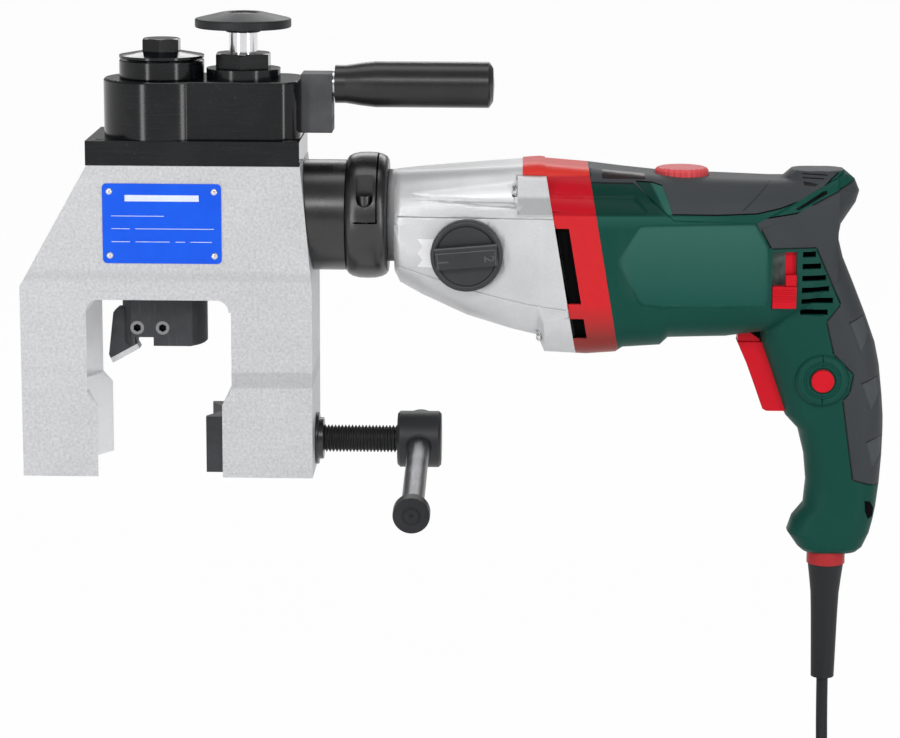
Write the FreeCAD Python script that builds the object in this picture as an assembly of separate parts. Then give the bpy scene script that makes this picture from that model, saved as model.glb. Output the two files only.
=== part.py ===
# Pipe chamfering machine: a C-shaped frame clamps a tube, and a hand drill turns a vertical
# spindle with a chamfering bit that a feed nut lowers onto the tube's end.
# Millimetres. X runs towards the drill, Y away from the viewer, Z up.
# The origin is on the spindle axis at the height of the frame's feet.
import FreeCAD, Part
import math
import os

os.makedirs("parts", exist_ok=True)
V = FreeCAD.Vector

# Fits
gap = 0.3
run_fit = 0.05
overrun = 5.0

# Frame block
frame_left = -79.5
frame_right = 88.0
frame_top = 181.0
frame_half_depth = 34.0
top_left = -40.0
top_right = 81.5
left_shoulder_z = 111.0
right_shoulder_z = 110.0
window_left = -41.6
window_right = 40.3
window_top = 103.7
window_corner = 7.0
seat_half_width = 36.0
seat_top_z = 42.5
seat_step = 6.5
chamber_radius = 53.7
vee_half_angle = 60.0

# Name plate
name_plate_left = -31.1
name_plate_width = 67.8
name_plate_bottom = 125.1
name_plate_height = 45.8
name_plate_thickness = 0.8
name_plate_corner = 2.5
rivet_inset_x = 4.0
rivet_inset_z = 4.5
rivet_radius = 2.0
rivet_rise = 0.9
rivet_length = 5.0

# Top plate
plate_left = -40.5
plate_right = 81.2
plate_thickness = 14.0

# Feed housing
lobe_radius = 33.5
box_half_width = 28.0
housing_end = 80.7
end_corner = 15.0
housing_height = 33.0
housing_edge = 1.0
nut_cavity_radius = 29.2
pinion_cavity_radius = 24.2
roof_thickness = 5.0

# Feed gears
feed_module = 2.0
nut_teeth = 26
pinion_teeth = 21
gear_lift = 2.0
gear_width = 14.0
nut_hub_radius = 20.0
pinion_hub_radius = 12.0
pinion_foot_depth = 8.0

# Collar, cone cap and its hexagon
collar_radius = 24.4
collar_height = 10.4
cap_gap = 1.0
cap_rim = 1.6
cap_cone_height = 2.2
cap_hex_flats = 20.6
cap_hex_height = 7.3
cap_hex_edge = 1.0
cap_spigot_length = 9.0

# Gland, plunger rod and knob
gland_radius = 21.3
gland_thickness = 5.8
gland_hex_flats = 30.0
gland_hex_height = 8.7
rod_radius = 8.2
knob_radius = 27.6
knob_rim_z = 256.8
knob_rim_height = 5.1
knob_dome_height = 3.8
knob_hub_radius = 10.0
knob_hub_depth = 2.5
knob_recess_radius = 9.5
knob_recess_depth = 1.0
knob_travel = 10.0
spring_radius = 7.0
spring_wall = 2.0

# Handle bracket and revolving grip
bracket_right = 98.5
bracket_half_width = 11.0
bracket_bottom = 197.6
bracket_top = 231.3
handle_axis_z = 224.7
grip_start = 99.8
grip_end = 188.8
grip_root_radius = 10.9
grip_radius = 13.2
grip_root_length = 6.0
grip_taper_end = 123.0
grip_dome = 2.3
grip_edge = 2.0
handle_pin_radius = 5.0
handle_head_radius = 8.0
handle_head_length = 6.0
handle_pin_depth = 12.0

# Cap screws of the top plate, the housing and the bracket
screw_radius = 2.5
screw_head_radius = 4.2
screw_head_height = 5.0
screw_length = 22.0
screw_socket_flats = 4.0
screw_socket_depth = 2.5
plate_screw_left = -33.5
plate_screw_left_y = 27.5
plate_screw_right = 76.0
plate_screw_right_y = 29.2
housing_screw_inner = 24.5
housing_screw_inner_y = 22.5
housing_screw_outer = 68.0
housing_screw_outer_y = 19.0
bracket_screw_z = 204.5
bracket_screw_y = 5.5

# Spindle, quill and tool head
holder_bottom = 73.9
holder_height = 34.1
holder_radius = 24.7
holder_flat = 17.3
holder_edge = 1.0
holder_bore_radius = 26.0
feed_travel = 25.0
spindle_radius = 9.0
spindle_neck_radius = 6.0
spindle_seat = 12.0
quill_radius = 14.0
quill_bore_radius = 10.5
quill_bottom = 165.5
quill_length = 58.5
quill_bearing_width = 8.0
quill_key_width = 5.0
quill_key_depth = 2.0
guide_height = 16.0
notch_left = -16.5
notch_right = -5.0
notch_top = 79.0
shank_right = 8.0
shank_top = 94.7
shank_thickness = 10.0
bit_heel_x = -29.2
bit_heel_z = 92.2
bit_left = -32.1
bit_left_z = 67.2
bit_tip_x = -29.7
bit_tip_z = 62.3
bit_inner_x = -13.9
bit_inner_z = 71.1
insert_depth = 3.2
set_screw_radius = 4.0
set_screw_left = -14.4
set_screw_pitch = 14.7
set_screw_z = 84.5
set_screw_flats = 4.0
set_screw_socket = 3.0

# Bevel drive
drive_axis_z = 149.0
bevel_module = 1.5
crown_teeth = 32
bevel_pinion_teeth = 16
bevel_face = 8.0
crown_hub_radius = 16.0
crown_hub_height = 12.0
crown_bearing_bottom = 112.0
crown_bearing_height = 11.0
gear_chamber_radius = 27.0
crown_back_z = 124.0
pinion_hub_length = 6.0
pinion_back_radius = 11.0
input_radius = 9.0
input_bearing_radius = 19.0
input_bearing_width = 10.0
input_bearing_near = 35.0
input_bearing_far = 66.0
input_end = 104.0
coupling_radius = 13.0
coupling_length = 22.0
coupling_square = 9.0

# Adapter sleeve and clamp ring
sleeve_radius = 31.9
sleeve_bore_radius = 24.0
sleeve_start = 78.0
sleeve_end = 106.7
ring_end = 130.5
ring_radius = 36.5
ring_side_radius = 32.5
ring_shoulder = 3.5
drill_collar_radius = 21.5
drill_collar_start = 110.0
pocket_left = 113.2
pocket_right = 122.8
pocket_bottom = 158.3
pocket_top = 177.5
pocket_depth_y = 25.0
ring_slit_x = 124.3
ring_slit_start = 112.0
ring_slit_width = 1.0
ring_screw_y = 29.5
ring_screw_radius = 3.0
ring_screw_head_radius = 4.0
ring_screw_head_height = 6.0
ring_screw_length = 20.0

# Clamp jaw, screw and tommy bar
clamp_axis_z = 16.4
clamp_travel = 40.0
jaw_tip = 25.4
jaw_back = 55.4
jaw_half_width = 22.0
jaw_height = 33.0
jaw_tip_flat = 3.0
jaw_foot = 0.4
pocket_end = 56.4
clamp_nut_start = 62.0
clamp_nut_radius = 12.2
clamp_nut_flange_radius = 15.2
clamp_nut_flange = 1.8
clamp_nut_neck = 2.7
clamp_thread_radius = 8.0
clamp_tip_radius = 6.0
clamp_tip_groove_radius = 4.5
clamp_tip_groove = 4.4
clamp_tip_end = 46.0
clamp_head_start = 135.9
clamp_head_end = 161.4
clamp_head_radius = 16.5
clamp_head_edge = 1.5
jaw_pin_radius = 2.0
bar_radius = 6.35
bar_cap_radius = 10.3
bar_cap_length = 9.0
bar_length = 159.3
bar_tilt = 5.9
bar_front_reach = 129.0

# Drill body: one outer form, split into its housings
neck_ring_radius = 26.6
neck_ring_end = 134.5
seam_top_x = 220.4
seam_top_z = 181.0
seam_slope_share = 0.1727
ring_cover_width = 24.6
shell_wall = 3.2
soft_wall = 2.0

# Sections of the drill body along X: place, bottom, top, half width, corner radius
body_sections = [
    (neck_ring_end, 116.4, 175.5, 29.0, 28.0),
    (137.5, 110.8, 175.9, 31.0, 28.0),
    (150.5, 104.3, 176.8, 33.0, 26.0),
    (176.3, 93.2, 178.6, 35.0, 24.0),
    (201.3, 85.8, 180.4, 36.5, 24.0),
    (217.0, 82.2, 181.6, 37.0, 24.0),
    (221.0, 72.6, 181.2, 37.5, 24.0),
    (245.0, 71.5, 179.3, 37.5, 24.0),
    (262.0, 72.7, 177.4, 37.0, 24.0),
    (266.0, 75.4, 177.0, 36.5, 24.0),
    (287.5, 76.8, 174.9, 36.0, 24.0),
    (292.0, 81.2, 174.6, 36.0, 24.0),
    (325.0, 82.2, 173.6, 35.0, 23.0),
    (350.0, 85.4, 172.8, 33.0, 22.0),
    (372.0, 96.0, 173.2, 29.0, 20.0),
    (388.0, 108.0, 177.0, 24.0, 18.0),
]

# Sections of the grip up its length: height, front, rear, half width, corner radius
grip_sections = [
    (-47.4, 374.0, 406.0, 12.0, 10.0),
    (-44.6, 370.8, 409.0, 14.5, 12.0),
    (-36.0, 364.8, 412.8, 16.5, 14.0),
    (-28.0, 367.5, 414.6, 17.0, 14.0),
    (-19.9, 374.0, 416.0, 17.0, 14.0),
    (-5.5, 375.1, 417.7, 17.0, 15.0),
    (10.1, 373.5, 418.6, 17.2, 15.0),
    (25.7, 369.5, 418.9, 17.6, 15.5),
    (34.0, 361.8, 418.7, 18.0, 15.5),
    (46.7, 357.4, 417.6, 18.5, 16.0),
    (64.6, 351.2, 415.4, 19.5, 16.5),
    (78.0, 346.5, 412.4, 21.0, 17.0),
    (94.0, 345.0, 406.5, 22.0, 18.0),
    (111.9, 345.0, 399.2, 22.5, 18.5),
    (127.2, 345.0, 392.7, 22.5, 18.5),
    (139.0, 345.0, 389.6, 22.5, 18.5),
    (147.0, 350.0, 391.0, 21.5, 18.0),
    (159.6, 352.0, 399.3, 19.5, 17.0),
    (166.0, 354.0, 401.2, 18.0, 16.0),
    (172.5, 356.0, 398.5, 16.0, 14.0),
    (177.9, 362.0, 392.0, 12.0, 10.0),
]

# Drill internals
motor_axis_z = 122.0
motor_module = 0.8
motor_pinion_teeth = 8
lay_gear_teeth = 36
lay_module = 1.25
lay_pinion_teeth = 10
output_gear_teeth = 28
output_radius = 8.0
output_rear_radius = 6.0
output_start = 106.0
output_bearing_start = 140.0
output_bearing_radius = 17.0
output_bearing_width = 11.0
output_gear_start = 196.0
output_gear_width = 12.0
lay_radius = 4.0
lay_start = 184.0
lay_wall = 7.0
lay_gear_start = 213.5
lay_gear_width = 7.0
lay_pinion_margin = 1.5
bridge_start = 223.0
bridge_width = 11.0
bridge_bearing_output = 9.0
bridge_bearing_lay = 6.0
bridge_bearing_motor = 10.0
motor_shaft_radius = 3.0
motor_pinion_start = 211.5
motor_shaft_end = 349.0
fan_start = 250.0
fan_width = 9.0
fan_radius = 27.0
fan_blades = 12
core_start = 270.0
core_length = 42.0
core_radius = 18.0
core_gap = 0.6
stator_radius = 30.0
commutator_start = 320.0
commutator_length = 14.0
commutator_radius = 12.0
brush_width = 6.0
brush_length = 12.0
brush_height = 9.0
rear_bearing_start = 340.0
rear_bearing_width = 7.0
rear_bearing_radius = 9.5
rear_wall_start = 336.0
rear_wall_width = 12.0

# Two-speed selector
selector_x = 176.3
selector_z = 131.7
selector_radius = 20.5
selector_rise = 5.5
selector_bar_rise = 5.0
selector_bar_half = 6.5
selector_bar_length = 37.0
selector_bar_tilt = -5.0
selector_shaft_radius = 5.0
selector_shaft_depth = 14.0

# Gearbox screw bosses and screws
boss_left = 204.9
boss_right = 221.9
boss_bottom = 154.2
boss_top = 176.0
boss_out = 38.5
lower_boss_left = 219.0
gearbox_screw_y = 34.0
gearbox_screw_z = 168.5
gearbox_screw_low_y = 28.0
gearbox_screw_low_z = 84.0
gearbox_head_radius = 3.6
gearbox_head_height = 3.0
gearbox_screw_radius = 2.0
gearbox_screw_length = 14.0

# Red ring cover vents
vent_top_z = 147.4
vent_bottom_z = 103.9
vent_front_offset = 1.5
vent_width = 6.5
small_vent_top_z = 95.5
small_vent_bottom_z = 83.7

# Speed dial
dial_x = 299.2
dial_radius = 15.4
dial_bottom = 171.2
dial_height = 6.0
dial_ribs = 24
dial_rib_depth = 0.5
dial_pin_radius = 3.0
dial_pin_depth = 8.0

# Direction slider
slider_left = 350.4
slider_right = 364.0
slider_bar_left = 357.8
slider_bottom = 101.8
slider_block_height = 13.0
slider_bar_top = 133.0
slider_travel = 12.0
slider_thickness = 3.0
slider_block_rise = 2.6
window_floor_y = 27.0
slider_y = 29.0
slider_window_top = 134.0

# Side vents of the motor housing
side_vent_left = 367.4
side_vent_top = 134.0
side_vent_pitch = 6.9
side_vent_height = 3.2
side_vent_ends = [375.0, 378.2, 381.4, 383.6, 386.0, 383.2]

# Trigger, lock button and switch
trigger_half_width = 6.5
trigger_back = 366.0
trigger_travel = 8.0
trigger_top = 77.6
trigger_points = [(332.7, 77.6), (338.5, 64.6), (343.8, 50.4), (348.4, 37.6), (350.3, 36.5)]
trigger_slot_bottom = 35.9
trigger_slot_top = 80.0
switch_start = 375.0
switch_length = 30.0
switch_half_width = 21.0
switch_bottom = 33.0
switch_height = 44.0
lock_x = 381.4
lock_z = 57.7
lock_radius = 6.6
lock_travel = 3.5
lock_out = 24.5
lock_depth = 11.5
lock_boss_radius = 14.0
lock_boss_out = 21.6

# Cord, bend relief and what is on the cord
cord_radius = 3.4
relief_x = 388.2
collar_top = -47.6
collar_bottom = -55.4
collar_radius_cord = 11.2
relief_points = [(10.5, -55.4), (9.4, -64.0), (8.3, -74.0), (7.8, -86.3), (7.3, -105.0), (6.8, -125.1)]

pieces = {}


def save(name, shape):
    """Keep a piece under its node's name."""
    pieces[name] = shape
    return shape


def rod_x(radius, x0, x1, z=drive_axis_z, y=0):
    return Part.makeCylinder(radius, x1 - x0, V(x0, y, z), V(1, 0, 0))


def rod_y(radius, y0, y1, x, z):
    return Part.makeCylinder(radius, y1 - y0, V(x, y0, z), V(0, 1, 0))


def rod_z(radius, z0, z1, x=0, y=0):
    return Part.makeCylinder(radius, z1 - z0, V(x, y, z0), V(0, 0, 1))


def block(x0, x1, y0, y1, z0, z1):
    return Part.makeBox(x1 - x0, y1 - y0, z1 - z0, V(x0, y0, z0))


def side_plate(points, y0, y1):
    """A plate whose outline is drawn in X and Z, from y0 to y1."""
    wire = Part.makePolygon([V(x, y0, z) for x, z in points + points[:1]])
    return Part.Face(wire).extrude(V(0, y1 - y0, 0))


def floor_plate(points, z0, z1):
    """A plate whose outline is drawn in X and Y, from z0 to z1."""
    wire = Part.makePolygon([V(x, y, z0) for x, y in points + points[:1]])
    return Part.Face(wire).extrude(V(0, 0, z1 - z0))


def turned_z(points, x=0, y=0):
    """A turned piece about a vertical axis, from (radius, z) points."""
    wire = Part.makePolygon([V(x + r, y, z) for r, z in points + points[:1]])
    return Part.Face(wire).revolve(V(x, y, 0), V(0, 0, 1), 360)


def turned_x(points, z=drive_axis_z, y=0):
    """A turned piece about an axis along X, from (x, radius) points."""
    wire = Part.makePolygon([V(x, y, z + r) for x, r in points + points[:1]])
    return Part.Face(wire).revolve(V(0, y, z), V(1, 0, 0), 360)


def polygon_points(flats, count=6, turn=30.0):
    """Corners of a regular polygon with the given width across flats."""
    corner = flats / 2 / math.cos(math.pi / count)
    angles = [math.radians(turn + 360 * k / count) for k in range(count)]
    return [(corner * math.cos(a), corner * math.sin(a)) for a in angles]


def hexagon_z(flats, z0, z1, x=0, y=0, turn=30.0):
    corners = polygon_points(flats, turn=turn)
    return floor_plate([(x + a, y + b) for a, b in corners], z0, z1)


def joined(shapes):
    """Several touching or overlapping solids as one."""
    result = shapes[0]
    for shape in shapes[1:]:
        result = result.fuse(shape)
    return result.removeSplitter()


def rounded(shape, radius, chosen):
    """Round the edges that the test picks."""
    return shape.makeFillet(radius, [edge for edge in shape.Edges if chosen(edge)])


def runs_along(edge, axis):
    """True where both ends of an edge differ along one axis only."""
    if len(edge.Vertexes) < 2:
        return False
    step = edge.Vertexes[1].Point - edge.Vertexes[0].Point
    return step.Length > 0 and abs(step.dot(axis)) / step.Length > 1 - 1e-6


def cap_screw(length):
    """A hexagon-socket cap screw pointing down, its head's seat at the origin."""
    shank = rod_z(screw_radius, -length, 0)
    head = rod_z(screw_head_radius, 0, screw_head_height)
    drive = hexagon_z(screw_socket_flats, screw_head_height - screw_socket_depth, screw_head_height + overrun)
    return joined([shank, head]).cut(drive)


# Shared heights that follow from the driving dimensions
plate_top = frame_top + plate_thickness
housing_top = plate_top + housing_height
gear_bottom = plate_top + gear_lift
gear_top = gear_bottom + gear_width
feed_axis_distance = feed_module * (nut_teeth + pinion_teeth) / 2
knob_x = feed_axis_distance
holder_top = holder_bottom + holder_height
drive_pitch_crown = bevel_module * crown_teeth / 2
drive_pitch_pinion = bevel_module * bevel_pinion_teeth / 2


def spur_gear(teeth, module, x0, x1):
    """A spur gear along X about the X axis, a tooth pointing up."""
    pitch = module * teeth / 2
    tip = pitch + tip_share * module
    root = pitch - root_share * module
    step = 2 * math.pi / teeth
    points = []
    for k in range(teeth):
        for radius, turn in ((root, -root_half_share), (tip, -tip_half_share),
                             (tip, tip_half_share), (root, root_half_share)):
            angle = (k + turn) * step
            points.append(V(x0, radius * math.sin(angle), radius * math.cos(angle)))
    wire = Part.makePolygon(points + points[:1])
    return Part.Face(wire).extrude(V(x1 - x0, 0, 0))


# Tooth form, as shares of the module and of the tooth pitch
tip_share = 0.65
root_share = 1.0
root_half_share = 0.25
tip_half_share = 0.09


def spur_gear_z(teeth, module, z0, z1, x, turn=0.0):
    """A spur gear about a vertical axis, a tooth pointing along +X."""
    gear = spur_gear(teeth, module, z0, z1)
    gear.rotate(V(0, 0, 0), V(0, 1, 0), -90)
    gear.rotate(V(0, 0, 0), V(0, 0, 1), 180 + turn)
    gear.translate(V(x, 0, 0))
    return gear


def bevel_gear(teeth, mate_teeth, module, face, back, bore):
    """A bevel gear about +Z with its cone's apex at the origin, a tooth towards +X."""
    pitch = module * teeth / 2
    distance = module * math.hypot(teeth, mate_teeth) / 2
    cone = math.atan2(teeth, mate_teeth)
    root = cone - math.atan(root_share * module / distance)
    tip = cone + math.atan(tip_share * module / distance)
    inner = distance - face

    def place(reach, angle, turn):
        return V(reach * math.sin(angle) * math.cos(turn),
                 reach * math.sin(angle) * math.sin(turn),
                 reach * math.cos(angle))

    rim = (distance * math.sin(root), distance * math.cos(root))
    nose = (inner * math.sin(root), inner * math.cos(root))
    blank = turned_z([rim, (rim[0], back), (bore, back), (bore, nose[1]), nose])
    step = 2 * math.pi / teeth
    deep = root - (cone - root) / 2
    solids = [blank]
    for k in range(teeth):
        wires = []
        for reach in (distance, inner):
            corners = [place(reach, angle, (k + turn) * step)
                       for angle, turn in ((deep, -root_half_share), (tip, -tip_half_share),
                                           (tip, tip_half_share), (deep, root_half_share))]
            wires.append(Part.makePolygon(corners + corners[:1]))
        solids.append(Part.makeLoft(wires, True, True))
    gear = solids[0].multiFuse(solids[1:])
    return gear.cut(rod_z(bore, -overrun, back + overrun))


# Frame block
frame_outline = [
    (frame_left, 0), (frame_left, left_shoulder_z), (top_left, frame_top), (top_right, frame_top),
    (frame_right, right_shoulder_z), (frame_right, 0),
]


def frame_block():
    body = side_plate(frame_outline, -frame_half_depth, frame_half_depth)
    window = block(window_left, window_right, -frame_half_depth - overrun, frame_half_depth + overrun,
                   seat_top_z + seat_step, window_top)
    window = rounded(window, window_corner,
                     lambda e: runs_along(e, V(0, 1, 0)) and e.CenterOfMass.z > window_top - gap)
    lower = side_plate([(-seat_half_width, -overrun), (-seat_half_width, seat_top_z),
                        (window_left, seat_top_z + seat_step), (window_right, seat_top_z + seat_step),
                        (seat_half_width, seat_top_z), (seat_half_width, -overrun)],
                       -frame_half_depth - overrun, frame_half_depth + overrun)
    chamber = rod_z(chamber_radius, seat_top_z + seat_step, window_top - window_corner)
    vee_depth = frame_half_depth / math.tan(math.radians(vee_half_angle))
    vee = floor_plate([(-seat_half_width, -frame_half_depth), (-seat_half_width, frame_half_depth),
                       (-seat_half_width - vee_depth, 0)], -overrun, seat_top_z + seat_step)
    jaw_room = block(seat_half_width - overrun, pocket_end, -jaw_half_width - gap,
                     jaw_half_width + gap, -overrun, jaw_height + jaw_foot + gap)
    body = body.cut(window).cut(lower).cut(chamber).cut(vee).cut(jaw_room)
    body = body.cut(rod_z(holder_bore_radius, window_top - overrun, crown_back_z))
    body = body.cut(rod_z(gear_chamber_radius, crown_back_z - gap, frame_top + overrun))
    body = body.cut(rod_x(input_bearing_radius, 0, frame_right + overrun))
    body = body.cut(rod_x(clamp_nut_radius, clamp_nut_start, frame_right + overrun, clamp_axis_z))
    body = body.cut(rod_x(clamp_thread_radius + gap, jaw_back, frame_right, clamp_axis_z))
    for x, y in plate_screw_places():
        body = body.cut(rod_z(screw_radius, frame_top - screw_length, frame_top + overrun, x, y))
    for x, z in rivet_places():
        body = body.cut(rod_y(rivet_radius * shank_share, -frame_half_depth - overrun,
                              -frame_half_depth + rivet_length, x, z))
    return body


# A rivet's shank as a share of its head
shank_share = 0.6


def plate_screw_places():
    return [(plate_screw_left, -plate_screw_left_y), (plate_screw_left, plate_screw_left_y),
            (plate_screw_right, -plate_screw_right_y), (plate_screw_right, plate_screw_right_y)]


def housing_screw_places():
    return [(housing_screw_inner, -housing_screw_inner_y), (housing_screw_inner, housing_screw_inner_y),
            (housing_screw_outer, -housing_screw_outer_y), (housing_screw_outer, housing_screw_outer_y)]


def rivet_places():
    left = name_plate_left + rivet_inset_x
    right = name_plate_left + name_plate_width - rivet_inset_x
    low = name_plate_bottom + rivet_inset_z
    high = name_plate_bottom + name_plate_height - rivet_inset_z
    return [(left, low), (right, low), (left, high), (right, high)]


def name_plate():
    front = -frame_half_depth - name_plate_thickness
    plate = block(name_plate_left, name_plate_left + name_plate_width, front, -frame_half_depth,
                  name_plate_bottom, name_plate_bottom + name_plate_height)
    plate = rounded(plate, name_plate_corner, lambda e: runs_along(e, V(0, 1, 0)))
    for x, z in rivet_places():
        plate = plate.cut(rod_y(rivet_radius * shank_share, front - overrun, 0, x, z))
    return plate


def plate_rivets():
    front = -frame_half_depth - name_plate_thickness
    rivets = []
    for x, z in rivet_places():
        shank = rod_y(rivet_radius * shank_share, front, -frame_half_depth + rivet_length, x, z)
        sphere = (rivet_radius ** 2 + rivet_rise ** 2) / 2 / rivet_rise
        dome = Part.makeSphere(sphere, V(x, front + sphere - rivet_rise, z))
        keep = rod_y(rivet_radius + overrun, front - rivet_rise - overrun, front, x, z)
        rivets.append(joined([dome.common(keep), shank]))
    return Part.makeCompound(rivets)


# Top plate and feed housing
def housing_outline(z0, z1):
    """The housing's outer form: a round lobe run into a box with round end corners."""
    lobe = rod_z(lobe_radius, z0, z1)
    box = block(0, housing_end, -box_half_width, box_half_width, z0, z1)
    box = rounded(box, end_corner,
                  lambda e: runs_along(e, V(0, 0, 1)) and e.CenterOfMass.x > housing_end - gap)
    return joined([lobe, box])


def top_plate():
    plate = block(plate_left, plate_right, -frame_half_depth, frame_half_depth, frame_top, plate_top)
    plate = plate.cut(rod_z(nut_hub_radius + run_fit, frame_top - overrun, plate_top + overrun))
    foot = plate_top - pinion_foot_depth
    plate = plate.cut(rod_z(pinion_hub_radius + run_fit, foot, plate_top + overrun, knob_x))
    for x, y in plate_screw_places():
        plate = plate.cut(rod_z(screw_radius, frame_top - overrun, plate_top, x, y))
        plate = plate.cut(rod_z(screw_head_radius, plate_top - screw_head_height, plate_top + overrun, x, y))
    for x, y in housing_screw_places():
        plate = plate.cut(rod_z(screw_radius, frame_top, plate_top + overrun, x, y))
        plate = plate.cut(rod_z(screw_head_radius, frame_top - overrun, frame_top + screw_head_height, x, y))
    return plate


def feed_housing():
    body = housing_outline(plate_top, housing_top)
    top_edges = [e for e in body.Edges if abs(e.BoundBox.ZMin - housing_top) < run_fit]
    body = body.makeChamfer(housing_edge, top_edges)
    roof = housing_top - roof_thickness
    body = body.cut(rod_z(nut_cavity_radius, plate_top - overrun, roof))
    body = body.cut(rod_z(pinion_cavity_radius, plate_top - overrun, roof, knob_x))
    body = body.cut(rod_z(nut_hub_radius + run_fit, plate_top, housing_top + overrun))
    body = body.cut(rod_z(pinion_hub_radius + run_fit, plate_top, housing_top + overrun, knob_x))
    for x, y in housing_screw_places():
        body = body.cut(rod_z(screw_radius, plate_top - overrun, frame_top + screw_length, x, y))
    for y in (-bracket_screw_y, bracket_screw_y):
        body = body.cut(rod_x(screw_radius, bracket_right - screw_head_height - screw_length, bracket_right,
                              bracket_screw_z, y))
    return body


def socket_screws():
    screws = []
    for x, y in plate_screw_places():
        screw = cap_screw(screw_length - screw_head_height)
        screw.translate(V(x, y, plate_top - screw_head_height))
        screws.append(screw)
    for x, y in housing_screw_places():
        screw = cap_screw(screw_length - screw_head_height)
        screw.rotate(V(0, 0, 0), V(1, 0, 0), 180)
        screw.translate(V(x, y, frame_top + screw_head_height))
        screws.append(screw)
    for y in (-bracket_screw_y, bracket_screw_y):
        screw = cap_screw(screw_length - screw_head_height)
        screw.rotate(V(0, 0, 0), V(0, 1, 0), 90)
        screw.translate(V(bracket_right - screw_head_height, y, bracket_screw_z))
        screws.append(screw)
    return Part.makeCompound(screws)


# Feed: nut with its gear, collar, cone cap, pinion, gland, plunger rod and knob
def feed_nut():
    gear = spur_gear_z(nut_teeth, feed_module, gear_bottom, gear_top, 0)
    hub = rod_z(nut_hub_radius, frame_top + gap, housing_top + collar_height)
    nut = joined([hub, gear])
    return nut.cut(rod_z(quill_radius + run_fit, frame_top, housing_top + collar_height + overrun))


def nut_collar():
    ring = rod_z(collar_radius, housing_top, housing_top + collar_height)
    return ring.cut(rod_z(nut_hub_radius + run_fit, housing_top - overrun, housing_top + collar_height + overrun))


def feed_cap():
    seat = housing_top + collar_height
    low = seat + cap_gap
    rim = low + cap_rim
    crown = rim + cap_cone_height
    hex_corner = cap_hex_flats / 2 / math.cos(math.pi / 6)
    cone = turned_z([(0, seat), (nut_hub_radius, seat), (nut_hub_radius, low), (collar_radius, low),
                     (collar_radius, rim), (hex_corner, crown), (0, crown)])
    head = hexagon_z(cap_hex_flats, crown - cap_rim, crown + cap_hex_height)
    trim = turned_z([(0, rim), (hex_corner, rim), (hex_corner, crown + cap_hex_height - cap_hex_edge),
                     (hex_corner - 2 * cap_hex_edge, crown + cap_hex_height), (0, crown + cap_hex_height)])
    spigot = rod_z(quill_radius, seat - cap_spigot_length, seat + cap_gap)
    return joined([cone, head.common(trim), spigot])


def feed_pinion():
    phase = 180 / pinion_teeth if (pinion_teeth % 2 == 0) else 0
    gear = spur_gear_z(pinion_teeth, feed_module, gear_bottom, gear_top, knob_x, phase)
    hub = rod_z(pinion_hub_radius, plate_top - pinion_foot_depth + gap, housing_top, knob_x)
    pinion = joined([hub, gear])
    spring_floor = plate_top - pinion_foot_depth + 2 * screw_radius
    return pinion.cut(rod_z(rod_radius + run_fit, spring_floor, housing_top + overrun, knob_x))


def gland_nut():
    flange = rod_z(gland_radius, housing_top, housing_top + gland_thickness, knob_x)
    top = housing_top + gland_thickness + gland_hex_height
    nut = hexagon_z(gland_hex_flats, housing_top + gland_thickness, top, knob_x)
    corner = gland_hex_flats / 2 / math.cos(math.pi / 6)
    trim = turned_z([(0, housing_top), (corner, housing_top), (corner, top - cap_hex_edge),
                     (corner - 2 * cap_hex_edge, top), (0, top)], knob_x)
    body = joined([flange, nut.common(trim)])
    return body.cut(rod_z(rod_radius + run_fit, housing_top - overrun, top + overrun, knob_x))


def rod_bottom():
    return plate_top - pinion_foot_depth + 2 * screw_radius + knob_travel + spring_wall


def plunger_rod():
    return rod_z(rod_radius, rod_bottom(), knob_rim_z, knob_x)


def knob_spring():
    floor = plate_top - pinion_foot_depth + 2 * screw_radius
    spring = rod_z(spring_radius, floor, rod_bottom(), knob_x)
    return spring.cut(rod_z(spring_radius - spring_wall, floor - overrun, rod_bottom() + overrun, knob_x))


def feed_knob():
    rim_top = knob_rim_z + knob_rim_height
    top = rim_top + knob_dome_height
    low = knob_rim_z - knob_hub_depth
    edge = knob_dome_height / 2
    shape = turned_z([
        (rod_radius, low), (knob_hub_radius, low), (knob_hub_radius + knob_hub_depth, knob_rim_z),
        (knob_radius - edge, knob_rim_z), (knob_radius, knob_rim_z + edge), (knob_radius, rim_top - edge),
        (knob_radius - edge, rim_top), (knob_radius * dome_shares[0], top - edge),
        (knob_radius * dome_shares[1], top), (knob_recess_radius, top),
        (knob_recess_radius, top - knob_recess_depth), (0, top - knob_recess_depth), (0, knob_rim_z),
        (rod_radius, knob_rim_z)], knob_x)
    return shape


# Where the knob's dome bends, as shares of its radius
dome_shares = (0.72, 0.42)


# Quill, its guide and bearings, spindle and tool head
def quill():
    top = quill_bottom + quill_length
    body = rod_z(quill_radius, quill_bottom, top)
    body = body.cut(rod_z(quill_bore_radius, quill_bottom - overrun, top + overrun))
    keyway = block(quill_radius - quill_key_depth, quill_radius + overrun,
                   -quill_key_width / 2 - run_fit, quill_key_width / 2 + run_fit,
                   quill_bottom - overrun, top + overrun)
    return body.cut(keyway)


def quill_guide():
    low = frame_top - guide_height
    body = rod_z(gear_chamber_radius, low, frame_top)
    body = body.cut(rod_z(quill_radius + run_fit, low - overrun, frame_top + overrun))
    key = block(quill_radius - quill_key_depth + run_fit, quill_radius + 1.5 * quill_key_depth,
                -quill_key_width / 2, quill_key_width / 2, low, frame_top)
    return joined([body, key])


def quill_bearings():
    rings = []
    top = quill_bottom + quill_length
    for low in (quill_bottom, top - quill_bearing_width):
        ring = rod_z(quill_bore_radius, low, low + quill_bearing_width)
        rings.append(ring.cut(rod_z(spindle_neck_radius + run_fit, low - overrun, top + overrun)))
    return Part.makeCompound(rings)


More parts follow.
